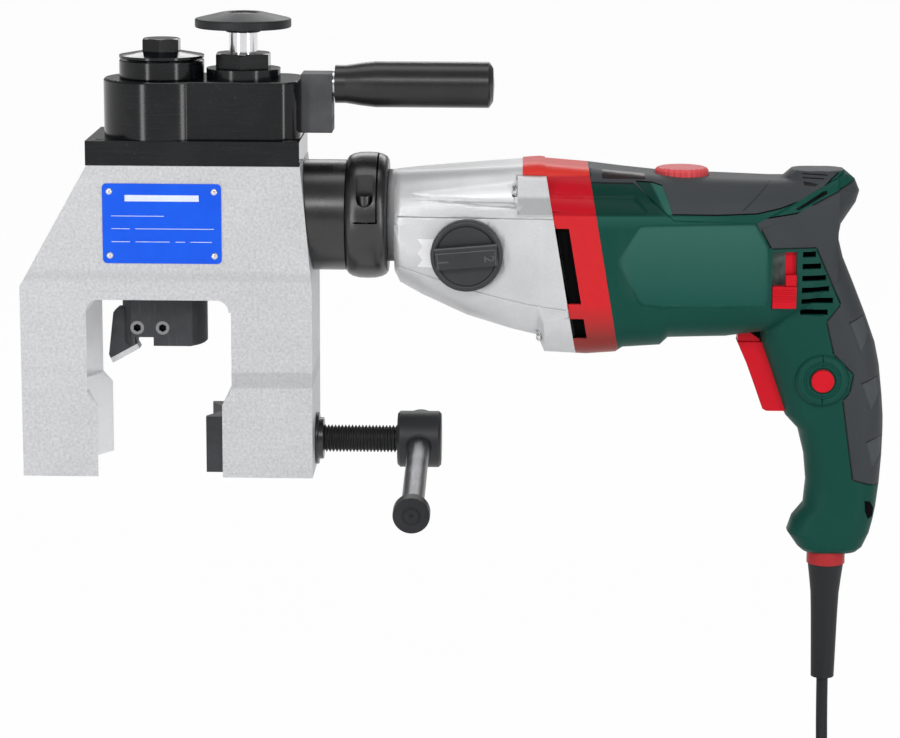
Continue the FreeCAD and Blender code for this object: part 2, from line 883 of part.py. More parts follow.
def spindle():
    top = quill_bottom + quill_length
    body = rod_z(spindle_radius, holder_top - spindle_seat, quill_bottom - gap)
    neck = rod_z(spindle_neck_radius, quill_bottom - overrun, top)
    return joined([body, neck])


def tool_holder():
    body = turned_z([(0, holder_bottom), (holder_radius - holder_edge, holder_bottom),
                     (holder_radius, holder_bottom + holder_edge), (holder_radius, holder_top), (0, holder_top)])
    body = body.cut(block(-holder_radius - overrun, holder_radius + overrun, -holder_radius - overrun,
                          -holder_flat, holder_bottom - overrun, holder_top + overrun))
    body = body.cut(rod_z(spindle_radius, holder_top - spindle_seat, holder_top + overrun))
    body = body.cut(block(notch_left, notch_right, -holder_radius - overrun, holder_radius + overrun,
                          holder_bottom - overrun, notch_top))
    slot = block(-holder_radius - overrun, shank_right, -shank_thickness, 0, notch_top, shank_top)
    mouth = block(-holder_radius - overrun, notch_left, -shank_thickness, 0, holder_bottom - overrun, notch_top)
    body = body.cut(slot).cut(mouth)
    for x in set_screw_places():
        body = body.cut(rod_y(set_screw_radius, -holder_radius - overrun, -shank_thickness, x, set_screw_z))
    return body


def set_screw_places():
    return [set_screw_left, set_screw_left + set_screw_pitch]


def tool_set_screws():
    screws = []
    for x in set_screw_places():
        screw = rod_y(set_screw_radius, -holder_flat, -shank_thickness, x, set_screw_z)
        corners = polygon_points(set_screw_flats)
        drive = side_plate([(x + a, set_screw_z + b) for a, b in corners],
                           -holder_flat - overrun, -holder_flat + set_screw_socket)
        screws.append(screw.cut(drive))
    return Part.makeCompound(screws)


def bit_edge_offset():
    """The insert's depth measured square to the cutting edge, in X and Z."""
    run = V(bit_inner_x - bit_tip_x, 0, bit_inner_z - bit_tip_z)
    run.normalize()
    return -run.z * insert_depth, run.x * insert_depth


def chamfer_bit():
    dx, dz = bit_edge_offset()
    points = [
        (shank_right, notch_top), (shank_right, shank_top), (bit_heel_x + dz, shank_top),
        (bit_heel_x, bit_heel_z), (bit_left, bit_left_z), (bit_tip_x + dx, bit_tip_z + dz),
        (bit_inner_x + dx, bit_inner_z + dz), (notch_left, notch_top),
    ]
    return side_plate(points, -shank_thickness, 0)


def carbide_insert():
    dx, dz = bit_edge_offset()
    points = [(bit_tip_x, bit_tip_z), (bit_inner_x, bit_inner_z), (bit_inner_x + dx, bit_inner_z + dz),
              (bit_tip_x + dx, bit_tip_z + dz)]
    return side_plate(points, -shank_thickness, 0)


# Bevel drive inside the frame
def crown_gear():
    gear = bevel_gear(crown_teeth, bevel_pinion_teeth, bevel_module, bevel_face,
                      drive_axis_z - crown_back_z, spindle_radius + run_fit)
    hub_top = drive_axis_z - crown_back_z
    hub = rod_z(crown_hub_radius - run_fit, hub_top, hub_top + crown_hub_height)
    gear = joined([gear, hub.cut(rod_z(spindle_radius + run_fit, 0, hub_top + crown_hub_height + overrun))])
    gear.rotate(V(0, 0, 0), V(1, 0, 0), 180)
    gear.translate(V(0, 0, drive_axis_z))
    return gear


def bearing_ring(outer, inner, x0, x1, z=drive_axis_z, y=0):
    return rod_x(outer, x0, x1, z, y).cut(rod_x(inner, x0 - overrun, x1 + overrun, z, y))


def bearings():
    low = crown_bearing_bottom
    crown = rod_z(holder_bore_radius, low, low + crown_bearing_height)
    crown = crown.cut(rod_z(crown_hub_radius, low - overrun, low + crown_bearing_height + overrun))
    rings = [crown]
    for x in (input_bearing_near, input_bearing_far):
        rings.append(bearing_ring(input_bearing_radius, input_radius + run_fit, x, x + input_bearing_width))
    return Part.makeCompound(rings + drill_bearings())


def pinion_shaft():
    gear = bevel_gear(bevel_pinion_teeth, crown_teeth, bevel_module, bevel_face,
                      drive_pitch_crown + pinion_hub_length, input_radius * shank_share)
    gear.rotate(V(0, 0, 0), V(0, 0, 1), 180 / bevel_pinion_teeth)
    gear.rotate(V(0, 0, 0), V(0, 1, 0), 90)
    gear.translate(V(0, 0, drive_axis_z))
    nose = gear.BoundBox.XMin + gap
    core = rod_x(input_radius * shank_share, nose, drive_pitch_crown + pinion_hub_length)
    back = rod_x(pinion_back_radius, drive_pitch_crown, drive_pitch_crown + pinion_hub_length)
    shaft = rod_x(input_radius, drive_pitch_crown + pinion_hub_length - gap, input_end - coupling_length)
    cup = rod_x(coupling_radius, input_end - coupling_length, input_end + gap)
    cup = cup.cut(rod_x(coupling_square, input_end - coupling_length / 2, input_end + overrun))
    return joined([gear, core, back, shaft, cup])


# Adapter sleeve and clamp ring between the frame and the drill
def adapter_sleeve():
    body = rod_x(sleeve_radius, sleeve_start, sleeve_end)
    body = body.cut(side_plate(frame_outline, -frame_half_depth - overrun, frame_half_depth + overrun))
    return body.cut(rod_x(sleeve_bore_radius, sleeve_start - overrun, sleeve_end + overrun))


def clamp_ring():
    middle = (sleeve_end + ring_end) / 2
    bulge = []
    for share, height in ring_profile_shares:
        bulge.append((middle + share * (ring_end - sleeve_end) / 2,
                      ring_side_radius + height * (ring_radius - ring_side_radius)))
    points = [(sleeve_end, sleeve_bore_radius)] + bulge + [
        (ring_end, drill_collar_radius), (drill_collar_start, drill_collar_radius),
        (drill_collar_start - ring_shoulder + gap, sleeve_bore_radius)]
    ring = turned_x(points)
    pocket = block(pocket_left, pocket_right, -ring_radius - overrun, -pocket_depth_y, pocket_bottom, pocket_top)
    pocket = rounded(pocket, (pocket_right - pocket_left) / 2 - run_fit, lambda e: runs_along(e, V(0, 1, 0)))
    ring = ring.cut(pocket)
    across = block(ring_slit_x, ring_slit_x + ring_slit_width, -ring_radius - overrun, 0,
                   drive_axis_z, drive_axis_z + ring_radius + overrun)
    axial = block(ring_slit_start, ring_slit_x, -ring_radius - overrun, 0,
                  drive_axis_z, drive_axis_z + ring_slit_width)
    ring = ring.cut(across).cut(axial)
    x = (pocket_left + pocket_right) / 2
    ring = ring.cut(rod_z(ring_screw_head_radius + gap, pocket_bottom, pocket_top, x, -ring_screw_y))
    return ring.cut(rod_z(ring_screw_radius, pocket_bottom - ring_screw_length, pocket_top, x, -ring_screw_y))


# The ring's bulge: places along its half width and heights of its rise, as shares
ring_profile_shares = [(-1.0, 0.0), (-0.9, 0.42), (-0.7, 0.74), (-0.4, 0.95), (0.0, 1.0),
                       (0.4, 0.95), (0.7, 0.74), (0.9, 0.42), (1.0, 0.0)]


def clamp_ring_screw():
    x = (pocket_left + pocket_right) / 2
    head_seat = pocket_bottom
    shank = rod_z(ring_screw_radius, head_seat - ring_screw_length, head_seat, x, -ring_screw_y)
    head = rod_z(ring_screw_head_radius, head_seat, head_seat + ring_screw_head_height, x, -ring_screw_y)
    corners = polygon_points(screw_socket_flats)
    drive = floor_plate([(x + a, b - ring_screw_y) for a, b in corners],
                        head_seat + ring_screw_head_height - screw_socket_depth,
                        head_seat + ring_screw_head_height + overrun)
    return joined([shank, head]).cut(drive)


# Handle bracket and revolving grip
def handle_bracket():
    body = block(housing_end, bracket_right, -bracket_half_width, bracket_half_width, bracket_bottom, bracket_top)
    body = rounded(body, housing_edge, lambda e: runs_along(e, V(1, 0, 0)))
    for y in (-bracket_screw_y, bracket_screw_y):
        body = body.cut(rod_x(screw_radius, housing_end - overrun, bracket_right, bracket_screw_z, y))
        body = body.cut(rod_x(screw_head_radius, bracket_right - screw_head_height, bracket_right + overrun,
                              bracket_screw_z, y))
    return body.cut(rod_x(handle_pin_radius, bracket_right - handle_pin_depth, bracket_right + overrun, handle_axis_z))


def handle_spindle():
    pin = rod_x(handle_pin_radius, bracket_right - handle_pin_depth, grip_end - handle_head_length, handle_axis_z)
    collar = rod_x(handle_head_radius, bracket_right, grip_start - gap, handle_axis_z)
    head = rod_x(handle_head_radius, grip_end - handle_head_length - gap, grip_end - gap, handle_axis_z)
    return joined([pin, collar, head])


def revolving_grip():
    profile = [
        (grip_start, 0), (grip_start, grip_root_radius), (grip_start + grip_root_length, grip_root_radius),
        (grip_start + (grip_taper_end - grip_start) * taper_shares[0],
         grip_root_radius + (grip_radius - grip_root_radius) * taper_shares[1]),
        (grip_taper_end, grip_radius), (grip_end - grip_edge / 2, grip_radius),
        (grip_end, grip_radius - grip_edge / 2), (grip_end + grip_dome * dome_shares[0], grip_radius * dome_shares[0]),
        (grip_end + grip_dome, 0)]
    body = turned_x(profile, handle_axis_z)
    body = body.cut(rod_x(handle_pin_radius + run_fit, grip_start - overrun, grip_end - gap, handle_axis_z))
    return body.cut(rod_x(handle_head_radius + run_fit, grip_end - handle_head_length - 2 * gap, grip_end,
                          handle_axis_z))


# The grip's taper: place along it and height, as shares
taper_shares = (0.66, 0.62)


# Clamp: jaw with its pins, nut, screw and sliding bar
def jaw_pin_places():
    return [-clamp_tip_groove_radius - jaw_pin_radius - run_fit, clamp_tip_groove_radius + jaw_pin_radius + run_fit]


def jaw_pin_x():
    return jaw_back - clamp_tip_groove


def clamp_jaw():
    middle = (jaw_half_width - jaw_tip_flat) / math.tan(math.radians(vee_half_angle))
    points = [(jaw_tip, -jaw_half_width), (jaw_tip, jaw_tip_flat - jaw_half_width), (jaw_tip + middle, 0),
              (jaw_tip, jaw_half_width - jaw_tip_flat), (jaw_tip, jaw_half_width), (jaw_back, jaw_half_width),
              (jaw_back, -jaw_half_width)]
    body = floor_plate(points, jaw_foot, jaw_foot + jaw_height)
    body = body.cut(rod_x(clamp_tip_radius + run_fit, clamp_tip_end - gap, jaw_back + overrun, clamp_axis_z))
    for y in jaw_pin_places():
        body = body.cut(rod_z(jaw_pin_radius, -overrun, jaw_height + overrun, jaw_pin_x(), y))
    return body


def jaw_pins():
    return Part.makeCompound([rod_z(jaw_pin_radius, jaw_foot, jaw_foot + jaw_height, jaw_pin_x(), y)
                              for y in jaw_pin_places()])


def clamp_nut():
    body = rod_x(clamp_nut_radius, clamp_nut_start, frame_right, clamp_axis_z)
    flange_end = frame_right + clamp_nut_flange
    flange = rod_x(clamp_nut_flange_radius, frame_right, flange_end, clamp_axis_z)
    neck = rod_x(clamp_nut_radius, flange_end, flange_end + clamp_nut_neck, clamp_axis_z)
    body = joined([body, flange, neck])
    return body.cut(rod_x(clamp_thread_radius + run_fit, 0, clamp_head_start, clamp_axis_z))


def clamp_screw():
    groove_low = jaw_pin_x() - clamp_tip_groove / 2
    groove_high = jaw_pin_x() + clamp_tip_groove / 2
    body = turned_x([
        (clamp_tip_end, 0), (clamp_tip_end, clamp_tip_radius), (groove_low, clamp_tip_radius),
        (groove_low, clamp_tip_groove_radius), (groove_high, clamp_tip_groove_radius),
        (groove_high, clamp_tip_radius), (jaw_back + gap, clamp_tip_radius),
        (jaw_back + gap, clamp_thread_radius), (clamp_head_start, clamp_thread_radius),
        (clamp_head_start, clamp_head_radius - clamp_head_edge),
        (clamp_head_start + clamp_head_edge, clamp_head_radius),
        (clamp_head_end - clamp_head_edge, clamp_head_radius),
        (clamp_head_end, clamp_head_radius - clamp_head_edge), (clamp_head_end, 0)], clamp_axis_z)
    return body.cut(bar_rod(bar_radius + run_fit, -2 * clamp_head_radius, 2 * clamp_head_radius))


def bar_rod(radius, start, end):
    """A rod along the tommy bar's axis, measured from the screw's axis towards the viewer."""
    tilt = math.radians(bar_tilt)
    along = V(0, -math.cos(tilt), -math.sin(tilt))
    x = (clamp_head_start + clamp_head_end) / 2
    return Part.makeCylinder(radius, end - start, V(x, 0, clamp_axis_z) + along * start, along)


def tommy_bar():
    rear = bar_front_reach + bar_cap_length / 2 - bar_length
    front = bar_front_reach + bar_cap_length / 2
    bar = bar_rod(bar_radius, rear + bar_cap_length / 2, front - bar_cap_length / 2)
    caps = []
    for start, outer in ((rear, rear), (front - bar_cap_length, front)):
        cap = bar_rod(bar_cap_radius, start, start + bar_cap_length)
        bore = bar_rod(bar_radius, rear + bar_cap_length / 2, front - bar_cap_length / 2)
        caps.append(rounded(cap, cap_hex_edge, lambda e: e.Closed).cut(bore))
    return Part.makeCompound([bar] + caps)


# Outer form of the drill
def section_wire(x, low, high, half_width, corner, inset):
    """A rounded rectangle across X, drawn in from the outer form by the inset."""
    low, high, half = low + inset, high - inset, half_width - inset
    r = min(corner, half - gap, (high - low) / 2 - gap) - inset * corner_share
    return rounded_wire([V(x, y, z) for y, z in ((-half, low), (half, low), (half, high), (-half, high))], r)


def grip_wire(z, front, rear, half_width, corner, inset):
    """A rounded rectangle across Z, drawn in from the outer form by the inset."""
    front, rear, half = front + inset, rear - inset, half_width - inset
    r = min(corner, half - gap) - inset * corner_share
    return rounded_wire([V(front, -half, z), V(rear, -half, z), V(rear, half, z), V(front, half, z)], r)


# How far a corner's radius shrinks with the inset, as a share
corner_share = 0.8


def rounded_wire(corners, radius):
    """Four straight lines joined by four arcs of the radius."""
    edges = []
    middle = (corners[0] + corners[2]) * 0.5
    count = len(corners)
    starts, ends, bends = [], [], []
    for k in range(count):
        before, here, after = corners[k - 1], corners[k], corners[(k + 1) % count]
        back = (before - here).normalize()
        ahead = (after - here).normalize()
        starts.append(here + back * radius)
        ends.append(here + ahead * radius)
        bends.append(here + (back + ahead) * (radius * (1 - math.sqrt(0.5))))
    for k in range(count):
        edges.append(Part.Arc(starts[k], bends[k], ends[k]).toShape())
        edges.append(Part.LineSegment(ends[k], starts[(k + 1) % count]).toShape())
    return Part.Wire(edges)


def drill_form(inset):
    """The drill's outer form, or the form that lies the inset inside it."""
    body = Part.makeLoft([section_wire(*row, inset) for row in body_sections], True, True)
    rows = list(grip_sections)
    rows[0] = (rows[0][0] + inset,) + rows[0][1:]
    rows[-1] = (rows[-1][0] - inset,) + rows[-1][1:]
    grip = Part.makeLoft([grip_wire(*row, inset) for row in rows], True, True)
    return joined([body, grip])


def seam_plate(x0, x1):
    """A slab between two slanted planes, x0 and x1 being its places at the seam's top."""
    high = seam_top_z + lobe_radius
    low = seam_top_z - 2 * seam_top_z

    def at(x, z):
        return x + (seam_top_z - z) * seam_slope_share, z

    return side_plate([at(x0, low), at(x1, low), at(x1, high), at(x0, high)],
                      -2 * frame_half_depth, 2 * frame_half_depth)


# Outlines of the soft covers, in X and Z
soft_top_points = [
    (246.6, 190.0), (246.6, 172.8), (271.3, 172.0), (279.0, 165.5), (293.6, 152.4), (341.0, 150.7),
    (356.0, 158.6), (392.2, 177.2), (391.0, 190.0),
]
soft_grip_points = [
    (343.0, 147.6), (349.3, 136.0), (375.2, 136.2), (390.7, 102.4), (382.8, 92.2), (387.6, 72.7),
    (399.5, 61.0), (397.5, 50.0), (393.7, 45.3), (400.9, -2.1), (413.6, -5.7), (430.0, -5.7),
    (430.0, 120.0), (405.0, 150.0), (412.0, 165.0), (399.8, 173.5), (372.0, 160.2), (356.0, 152.0),
]


def lay_place():
    """The layshaft's centre, which meshes with the motor's pinion and the output gear."""
    near = motor_module * (motor_pinion_teeth + lay_gear_teeth) / 2
    far = lay_module * (lay_pinion_teeth + output_gear_teeth) / 2
    span = drive_axis_z - motor_axis_z
    rise = (near ** 2 - far ** 2 + span ** 2) / 2 / span
    return math.sqrt(near ** 2 - rise ** 2), motor_axis_z + rise


def meshed_gear(teeth, module, x0, x1, centre, towards, gap_there):
    """A spur gear at (y, z) whose tooth, or gap, points at another centre."""
    gear = spur_gear(teeth, module, x0, x1)
    heading = math.degrees(math.atan2(towards[0] - centre[0], towards[1] - centre[1]))
    turn = heading + (180 / teeth if gap_there else 0)
    gear.rotate(V(0, 0, 0), V(1, 0, 0), -turn)
    gear.translate(V(0, centre[0], centre[1]))
    return gear


def drill_shells():
    """Gear housing, ring cover, two housing halves, soft covers and the bearing bridge."""
    outer = drill_form(0)
    inner = drill_form(shell_wall)
    soft_core = drill_form(soft_wall)
    wide = 2 * frame_half_depth
    skin = outer.cut(soft_core)
    front_slab = seam_plate(0, seam_top_x)
    ring_slab = seam_plate(seam_top_x, seam_top_x + ring_cover_width)
    rear_slab = seam_plate(seam_top_x + ring_cover_width, body_sections[-1][0] + lobe_radius)
    covers = []
    for points in (soft_top_points, soft_grip_points):
        covers.append(skin.common(side_plate(points, -wide, wide)).common(rear_slab))
    front = outer.common(front_slab)
    neck = rod_x(drill_collar_radius, drill_collar_start + gap, neck_ring_end + overrun)
    ring = rod_x(neck_ring_radius, ring_end + gap, neck_ring_end + overrun)
    bosses = []
    for side in (-1, 1):
        box = block(boss_left, boss_right + boss_head_room(), min(side * boss_out, 0), max(side * boss_out, 0),
                    boss_bottom, boss_top)
        bosses.append(rounded(box, housing_edge, lambda e: runs_along(e, V(1, 0, 0)) and
                              abs(e.CenterOfMass.y) > boss_out - gap))
    front = joined([front, neck, ring] + [b.common(front_slab) for b in bosses])
    for x0, x1 in ((output_bearing_start + output_bearing_width + shell_wall, lay_start - shell_wall),
                   (lay_start + lay_wall, seam_top_x + lobe_radius)):
        front = front.cut(inner.common(block(x0, x1, -wide, wide, 0, frame_top + lobe_radius)))
    front = front.cut(rod_x(output_bearing_radius, output_bearing_start, lay_start - shell_wall))
    front = front.cut(rod_x(output_radius + gap, 0, lay_start + overrun + lay_wall))
    lay_y, lay_z = lay_place()
    front = front.cut(rod_x(lay_radius + run_fit, lay_start - gap, lay_start + lay_wall, lay_z, lay_y))
    front = front.cut(rod_y(selector_shaft_radius + run_fit, -wide, 0, selector_x, selector_z))
    front = front.cut(rod_y(selector_radius + gap, -wide, -side_of_body(selector_x), selector_x, selector_z))
    ring_cover = outer.common(ring_slab).cut(inner)
    ring_cover = ring_cover.cut(ring_vents())
    bridge = inner.common(block(bridge_start, bridge_start + bridge_width, -wide, wide, 0,
                                frame_top + lobe_radius))
    bridge = bridge.cut(rod_x(bridge_bearing_output, bridge_start - overrun, bridge_start + bridge_width / 2))
    bridge = bridge.cut(rod_x(bridge_bearing_lay, bridge_start - overrun, bridge_start + bridge_width / 2,
                              lay_z, lay_y))
    bridge = bridge.cut(rod_x(bridge_bearing_motor, bridge_start, bridge_start + bridge_width + overrun,
                              motor_axis_z))
    bridge = bridge.cut(rod_x(motor_shaft_radius * 2, bridge_start - overrun, bridge_start + overrun,
                              motor_axis_z))
    rear = outer.common(rear_slab)
    for cover in covers:
        rear = rear.cut(cover)
    rear = rear.cut(inner.cut(rear_wall()))
    return front, ring_cover, rear, covers, bridge


def boss_head_room():
    return ring_cover_width / 2


def rear_wall():
    """The wall inside the housing that holds the motor's rear bearing."""
    wide = 2 * frame_half_depth
    wall = block(rear_wall_start, rear_wall_start + rear_wall_width, -wide, wide,
                 motor_axis_z - stator_radius, motor_axis_z + stator_radius)
    wall = wall.cut(rod_x(rear_bearing_radius, rear_bearing_start, rear_wall_start + rear_wall_width + overrun,
                          motor_axis_z))
    return wall.cut(rod_x(motor_shaft_radius + gap, 0, rear_wall_start + rear_wall_width + overrun, motor_axis_z))


def seam_x(z):
    """The gear housing's rear edge at a height."""
    return seam_top_x + (seam_top_z - z) * seam_slope_share


def ring_vents():
    """Two slanted air slots on each side of the ring cover."""
    cuts = []
    wide = 2 * frame_half_depth
    for high, low in ((vent_top_z, vent_bottom_z), (small_vent_top_z, small_vent_bottom_z)):
        points = [(seam_x(high) + vent_front_offset, high), (seam_x(high) + vent_front_offset + vent_width, high),
                  (seam_x(low) + vent_front_offset + vent_width, low), (seam_x(low) + vent_front_offset, low)]
        cuts.append(side_plate(points, -wide, wide))
    return Part.makeCompound(cuts)


def side_vents():
    cuts = []
    wide = 2 * frame_half_depth
    for row, end in enumerate(side_vent_ends):
        top = side_vent_top - row * side_vent_pitch
        cuts.append(block(side_vent_left, end, -wide, wide, top - side_vent_height, top))
    return Part.makeCompound(cuts)


def housing_openings(shell):
    """Cut what passes through the housing halves: dial, slider, trigger, lock, vents and cord."""
    wide = 2 * frame_half_depth
    shell = shell.cut(rod_z(dial_radius + gap, dial_bottom - gap, dial_bottom + wide, dial_x))
    shell = shell.cut(rod_z(dial_pin_radius + run_fit, dial_bottom - dial_pin_depth, dial_bottom + gap, dial_x))
    shell = shell.cut(block(slider_left - gap, slider_right + gap, -wide, -window_floor_y,
                            slider_bottom - gap, slider_window_top))
    shell = shell.cut(side_vents())
    shell = shell.cut(block(trigger_points[0][0] - overrun, trigger_back + trigger_travel + gap,
                            -trigger_half_width - gap, trigger_half_width + gap,
                            trigger_slot_bottom, trigger_slot_top))
    shell = shell.cut(rod_y(lock_radius + run_fit, -wide, 0, lock_x, lock_z))
    return shell.cut(rod_z(cord_radius + gap, collar_top - wide, collar_top + wide / 2, relief_x))


def lock_boss():
    return rod_y(lock_boss_radius, -lock_boss_out, -grip_inner_y, lock_x, lock_z)


grip_inner_y = 15.5


def gearbox_screws():
    screws = []
    for y, z, x in ((gearbox_screw_y, gearbox_screw_z, boss_left),
                    (gearbox_screw_low_y, gearbox_screw_low_z, lower_boss_left)):
        for side in (-1, 1):
            head = rod_x(gearbox_head_radius, x - gearbox_head_height, x, z, side * y)
            shank = rod_x(gearbox_screw_radius, x, x + gearbox_screw_length, z, side * y)
            slot = rod_x(gearbox_screw_radius, x - gearbox_head_height, x - gearbox_head_height / 2, z, side * y)
            screws.append(joined([head, shank]).cut(slot))
    return Part.makeCompound(screws)


# Drill train
def output_shaft():
    front = rod_x(output_radius, input_end - coupling_length / 2 + 2 * gap, output_gear_start)
    rear = rod_x(output_rear_radius, output_gear_start, bridge_start + bridge_width / 2 - gap)
    gear = meshed_gear(output_gear_teeth, lay_module, output_gear_start, output_gear_start + output_gear_width,
                       (0, drive_axis_z), lay_place(), False)
    return joined([front, rear, gear])


def layshaft():
    y, z = lay_place()
    shaft = rod_x(lay_radius, lay_start, bridge_start + bridge_width / 2 - gap, z, y)
    gear = meshed_gear(lay_gear_teeth, motor_module, lay_gear_start, lay_gear_start + lay_gear_width,
                       (y, z), (0, motor_axis_z), True)
    pinion = meshed_gear(lay_pinion_teeth, lay_module, output_gear_start - lay_pinion_margin,
                         output_gear_start + output_gear_width + lay_pinion_margin,
                         (y, z), (0, drive_axis_z), True)
    return joined([shaft, gear, pinion])


def drill_bearings():
    y, z = lay_place()
    middle = bridge_start + bridge_width / 2
    return [
        bearing_ring(output_bearing_radius, output_radius + run_fit, output_bearing_start,
                     output_bearing_start + output_bearing_width),
        bearing_ring(bridge_bearing_output, output_rear_radius + run_fit, bridge_start, middle),
        bearing_ring(bridge_bearing_lay, lay_radius + run_fit, bridge_start, middle, z, y),
        bearing_ring(bridge_bearing_motor, motor_shaft_radius + run_fit, middle, bridge_start + bridge_width,
                     motor_axis_z),
        bearing_ring(rear_bearing_radius, motor_shaft_radius + run_fit, rear_bearing_start,
                     rear_bearing_start + rear_bearing_width, motor_axis_z)]


def armature():
    shaft_start = lay_gear_start + lay_gear_width + gap
    shaft = rod_x(motor_shaft_radius, shaft_start, motor_shaft_end, motor_axis_z)
    pinion = meshed_gear(motor_pinion_teeth, motor_module, motor_pinion_start, shaft_start + gap,
                         (0, motor_axis_z), lay_place(), False)
    core = rod_x(core_radius, core_start, core_start + core_length, motor_axis_z)
    commutator = rod_x(commutator_radius, commutator_start, commutator_start + commutator_length, motor_axis_z)
    hub = rod_x(commutator_radius, fan_start, fan_start + fan_width, motor_axis_z)
    disc = rod_x(fan_radius, fan_start, fan_start + soft_wall, motor_axis_z)
    blade = block(fan_start, fan_start + fan_width, -soft_wall / 2, soft_wall / 2,
                  motor_axis_z, motor_axis_z + fan_radius)
    blades = []
    for k in range(fan_blades):
        turned = blade.copy()
        turned.rotate(V(0, 0, motor_axis_z), V(1, 0, 0), 360 * k / fan_blades)
        blades.append(turned)
    neck = rod_x(motor_shaft_radius * 2, fan_start + fan_width, commutator_start, motor_axis_z)
    return joined([shaft, pinion, core, commutator, hub, disc, neck] + blades)


def stator():
    body = rod_x(stator_radius, core_start, core_start + core_length, motor_axis_z)
    body = body.common(drill_form(shell_wall))
    return body.cut(rod_x(core_radius + core_gap, core_start - overrun, core_start + core_length + overrun,
                          motor_axis_z))


def carbon_brushes():
    x = commutator_start + (commutator_length - brush_width) / 2
    start = commutator_radius + gap
    brushes = [block(x, x + brush_width, min(s * start, s * (start + brush_length)),
                     max(s * start, s * (start + brush_length)),
                     motor_axis_z - brush_height / 2, motor_axis_z + brush_height / 2) for s in (-1, 1)]
    holders = []
    for s in (-1, 1):
        near, far = s * (start + gap * 3), s * (stator_radius + gap)
        holder = block(x - soft_wall, x + brush_width + soft_wall, min(near, far), max(near, far),
                       motor_axis_z - brush_height / 2 - soft_wall, motor_axis_z + brush_height / 2 + soft_wall)
        hole = block(x, x + brush_width, min(near, s * (start + brush_length)),
                     max(near, s * (start + brush_length)),
                     motor_axis_z - brush_height / 2, motor_axis_z + brush_height / 2)
        holders.append(holder.cut(hole))
    return Part.makeCompound(brushes + holders)


# Controls of the drill
def gear_selector():
    base_y = side_of_body(selector_x)
    low, mid, out = -base_y - gap, -base_y - selector_rise, -base_y - selector_rise - selector_bar_rise
    disc = rod_y(selector_radius, mid, low, selector_x, selector_z)
    bar = block(selector_x - selector_bar_length / 2, selector_x + selector_bar_length / 2, out, low,
                selector_z - selector_bar_half, selector_z + selector_bar_half)
    bar.rotate(V(selector_x, 0, selector_z), V(0, 1, 0), selector_bar_tilt)
    shaft = rod_y(selector_shaft_radius, low - gap, -base_y + selector_shaft_depth, selector_x, selector_z)
    return joined([disc, bar, shaft])


def side_of_body(x):
    """Half the body's width at a place along X."""
    for before, after in zip(body_sections, body_sections[1:]):
        if before[0] <= x <= after[0]:
            share = (x - before[0]) / (after[0] - before[0])
            return before[3] + share * (after[3] - before[3])
    return body_sections[-1][3]


def speed_dial():
    wheel = rod_z(dial_radius, dial_bottom, dial_bottom + dial_height, dial_x)
    wheel = rounded(wheel, housing_edge, lambda e: e.Closed)
    pin = rod_z(dial_pin_radius, dial_bottom - dial_pin_depth + gap, dial_bottom, dial_x)
    return joined([wheel, pin])


def direction_slider():
    top = slider_bottom + slider_block_height
    block_part = block(slider_left, slider_right, -slider_y - slider_thickness - slider_block_rise, -slider_y,
                       slider_bottom, top)
    bar = block(slider_bar_left, slider_right, -slider_y - slider_thickness, -slider_y, slider_bottom,
                slider_bar_top - slider_travel)
    plate = block(slider_left, slider_right, -slider_y, -window_floor_y - gap, slider_bottom,
                  slider_bar_top - slider_travel)
    return joined([block_part, bar, plate])


def trigger():
    points = trigger_points + [(trigger_back, trigger_slot_bottom + 2 * gap), (trigger_back, trigger_top)]
    body = side_plate(points, -trigger_half_width, trigger_half_width)
    return rounded(body, cap_hex_edge, lambda e: e.CenterOfMass.x < trigger_points[-1][0] and
                   abs(e.CenterOfMass.y) > trigger_half_width - gap)


def switch_module():
    body = block(switch_start, switch_start + switch_length, -switch_half_width, switch_half_width,
                 switch_bottom, switch_bottom + switch_height)
    body = body.common(drill_form(shell_wall))
    room = rod_y(lock_radius + gap, -switch_half_width, -lock_out + lock_depth + lock_travel + gap,
                 lock_x, lock_z)
    boss_room = rod_y(lock_boss_radius + gap, -switch_half_width, gap - grip_inner_y, lock_x, lock_z)
    return body.cut(room).cut(boss_room)


def lock_button():
    button = rod_y(lock_radius, -lock_out, -lock_out + lock_depth, lock_x, lock_z)
    return rounded(button, cap_hex_edge, lambda e: e.Closed and e.CenterOfMass.y < -lock_out + gap)


# Cord's collar and bend relief
def relief_collar():
    ring = rod_z(collar_radius_cord, collar_bottom, collar_top, relief_x)
    return ring.cut(rod_z(cord_radius, collar_bottom - overrun, collar_top + overrun, relief_x))


def cord_relief():
    profile = [(cord_radius, relief_points[0][1])] + relief_points + [(cord_radius, relief_points[-1][1])]
    return turned_z(profile, relief_x)


# Cord: a hanging run that bends onto the put-away coil, and the coil's tail to the plug
cord_route = [
    (388.2, 0.0, -125.1), (388.5, 0.4, -150.0), (388.0, -13.6, -174.5), (388.3, -38.0, -188.8),
    (388.0, -64.0, -188.8),
]
coil_layers = 4
coil_turns = 3.75
coil_pitch = 7.3
coil_layer_rise = 7.3
coil_outer = 53.0
coil_centre_y = -64.0


def cord_tube(points, radius):
    """A round tube on straight runs joined by arcs of 0.45 of the shorter run."""
    corners = [V(*p) for p in points]
    edges, radii = [], []
    start = corners[0]
    for before, here, after in zip(corners, corners[1:], corners[2:]):
        back, ahead = before - here, after - here
        reach = reach_share * min(back.Length, ahead.Length)
        back.normalize()
        ahead.normalize()
        turn = math.pi - back.getAngle(ahead)
        bend = reach / math.tan(turn / 2)
        enter, leave = here + back * reach, here + ahead * reach
        inward = (back + ahead).normalize()
        middle = here + inward * (bend / math.cos(turn / 2) - bend)
        edges.append(Part.LineSegment(start, enter).toShape())
        edges.append(Part.Arc(enter, middle, leave).toShape())
        start = leave
        radii.append(round(bend, 1))
    edges.append(Part.LineSegment(start, corners[-1]).toShape())
    return sweep(edges, radius), radii


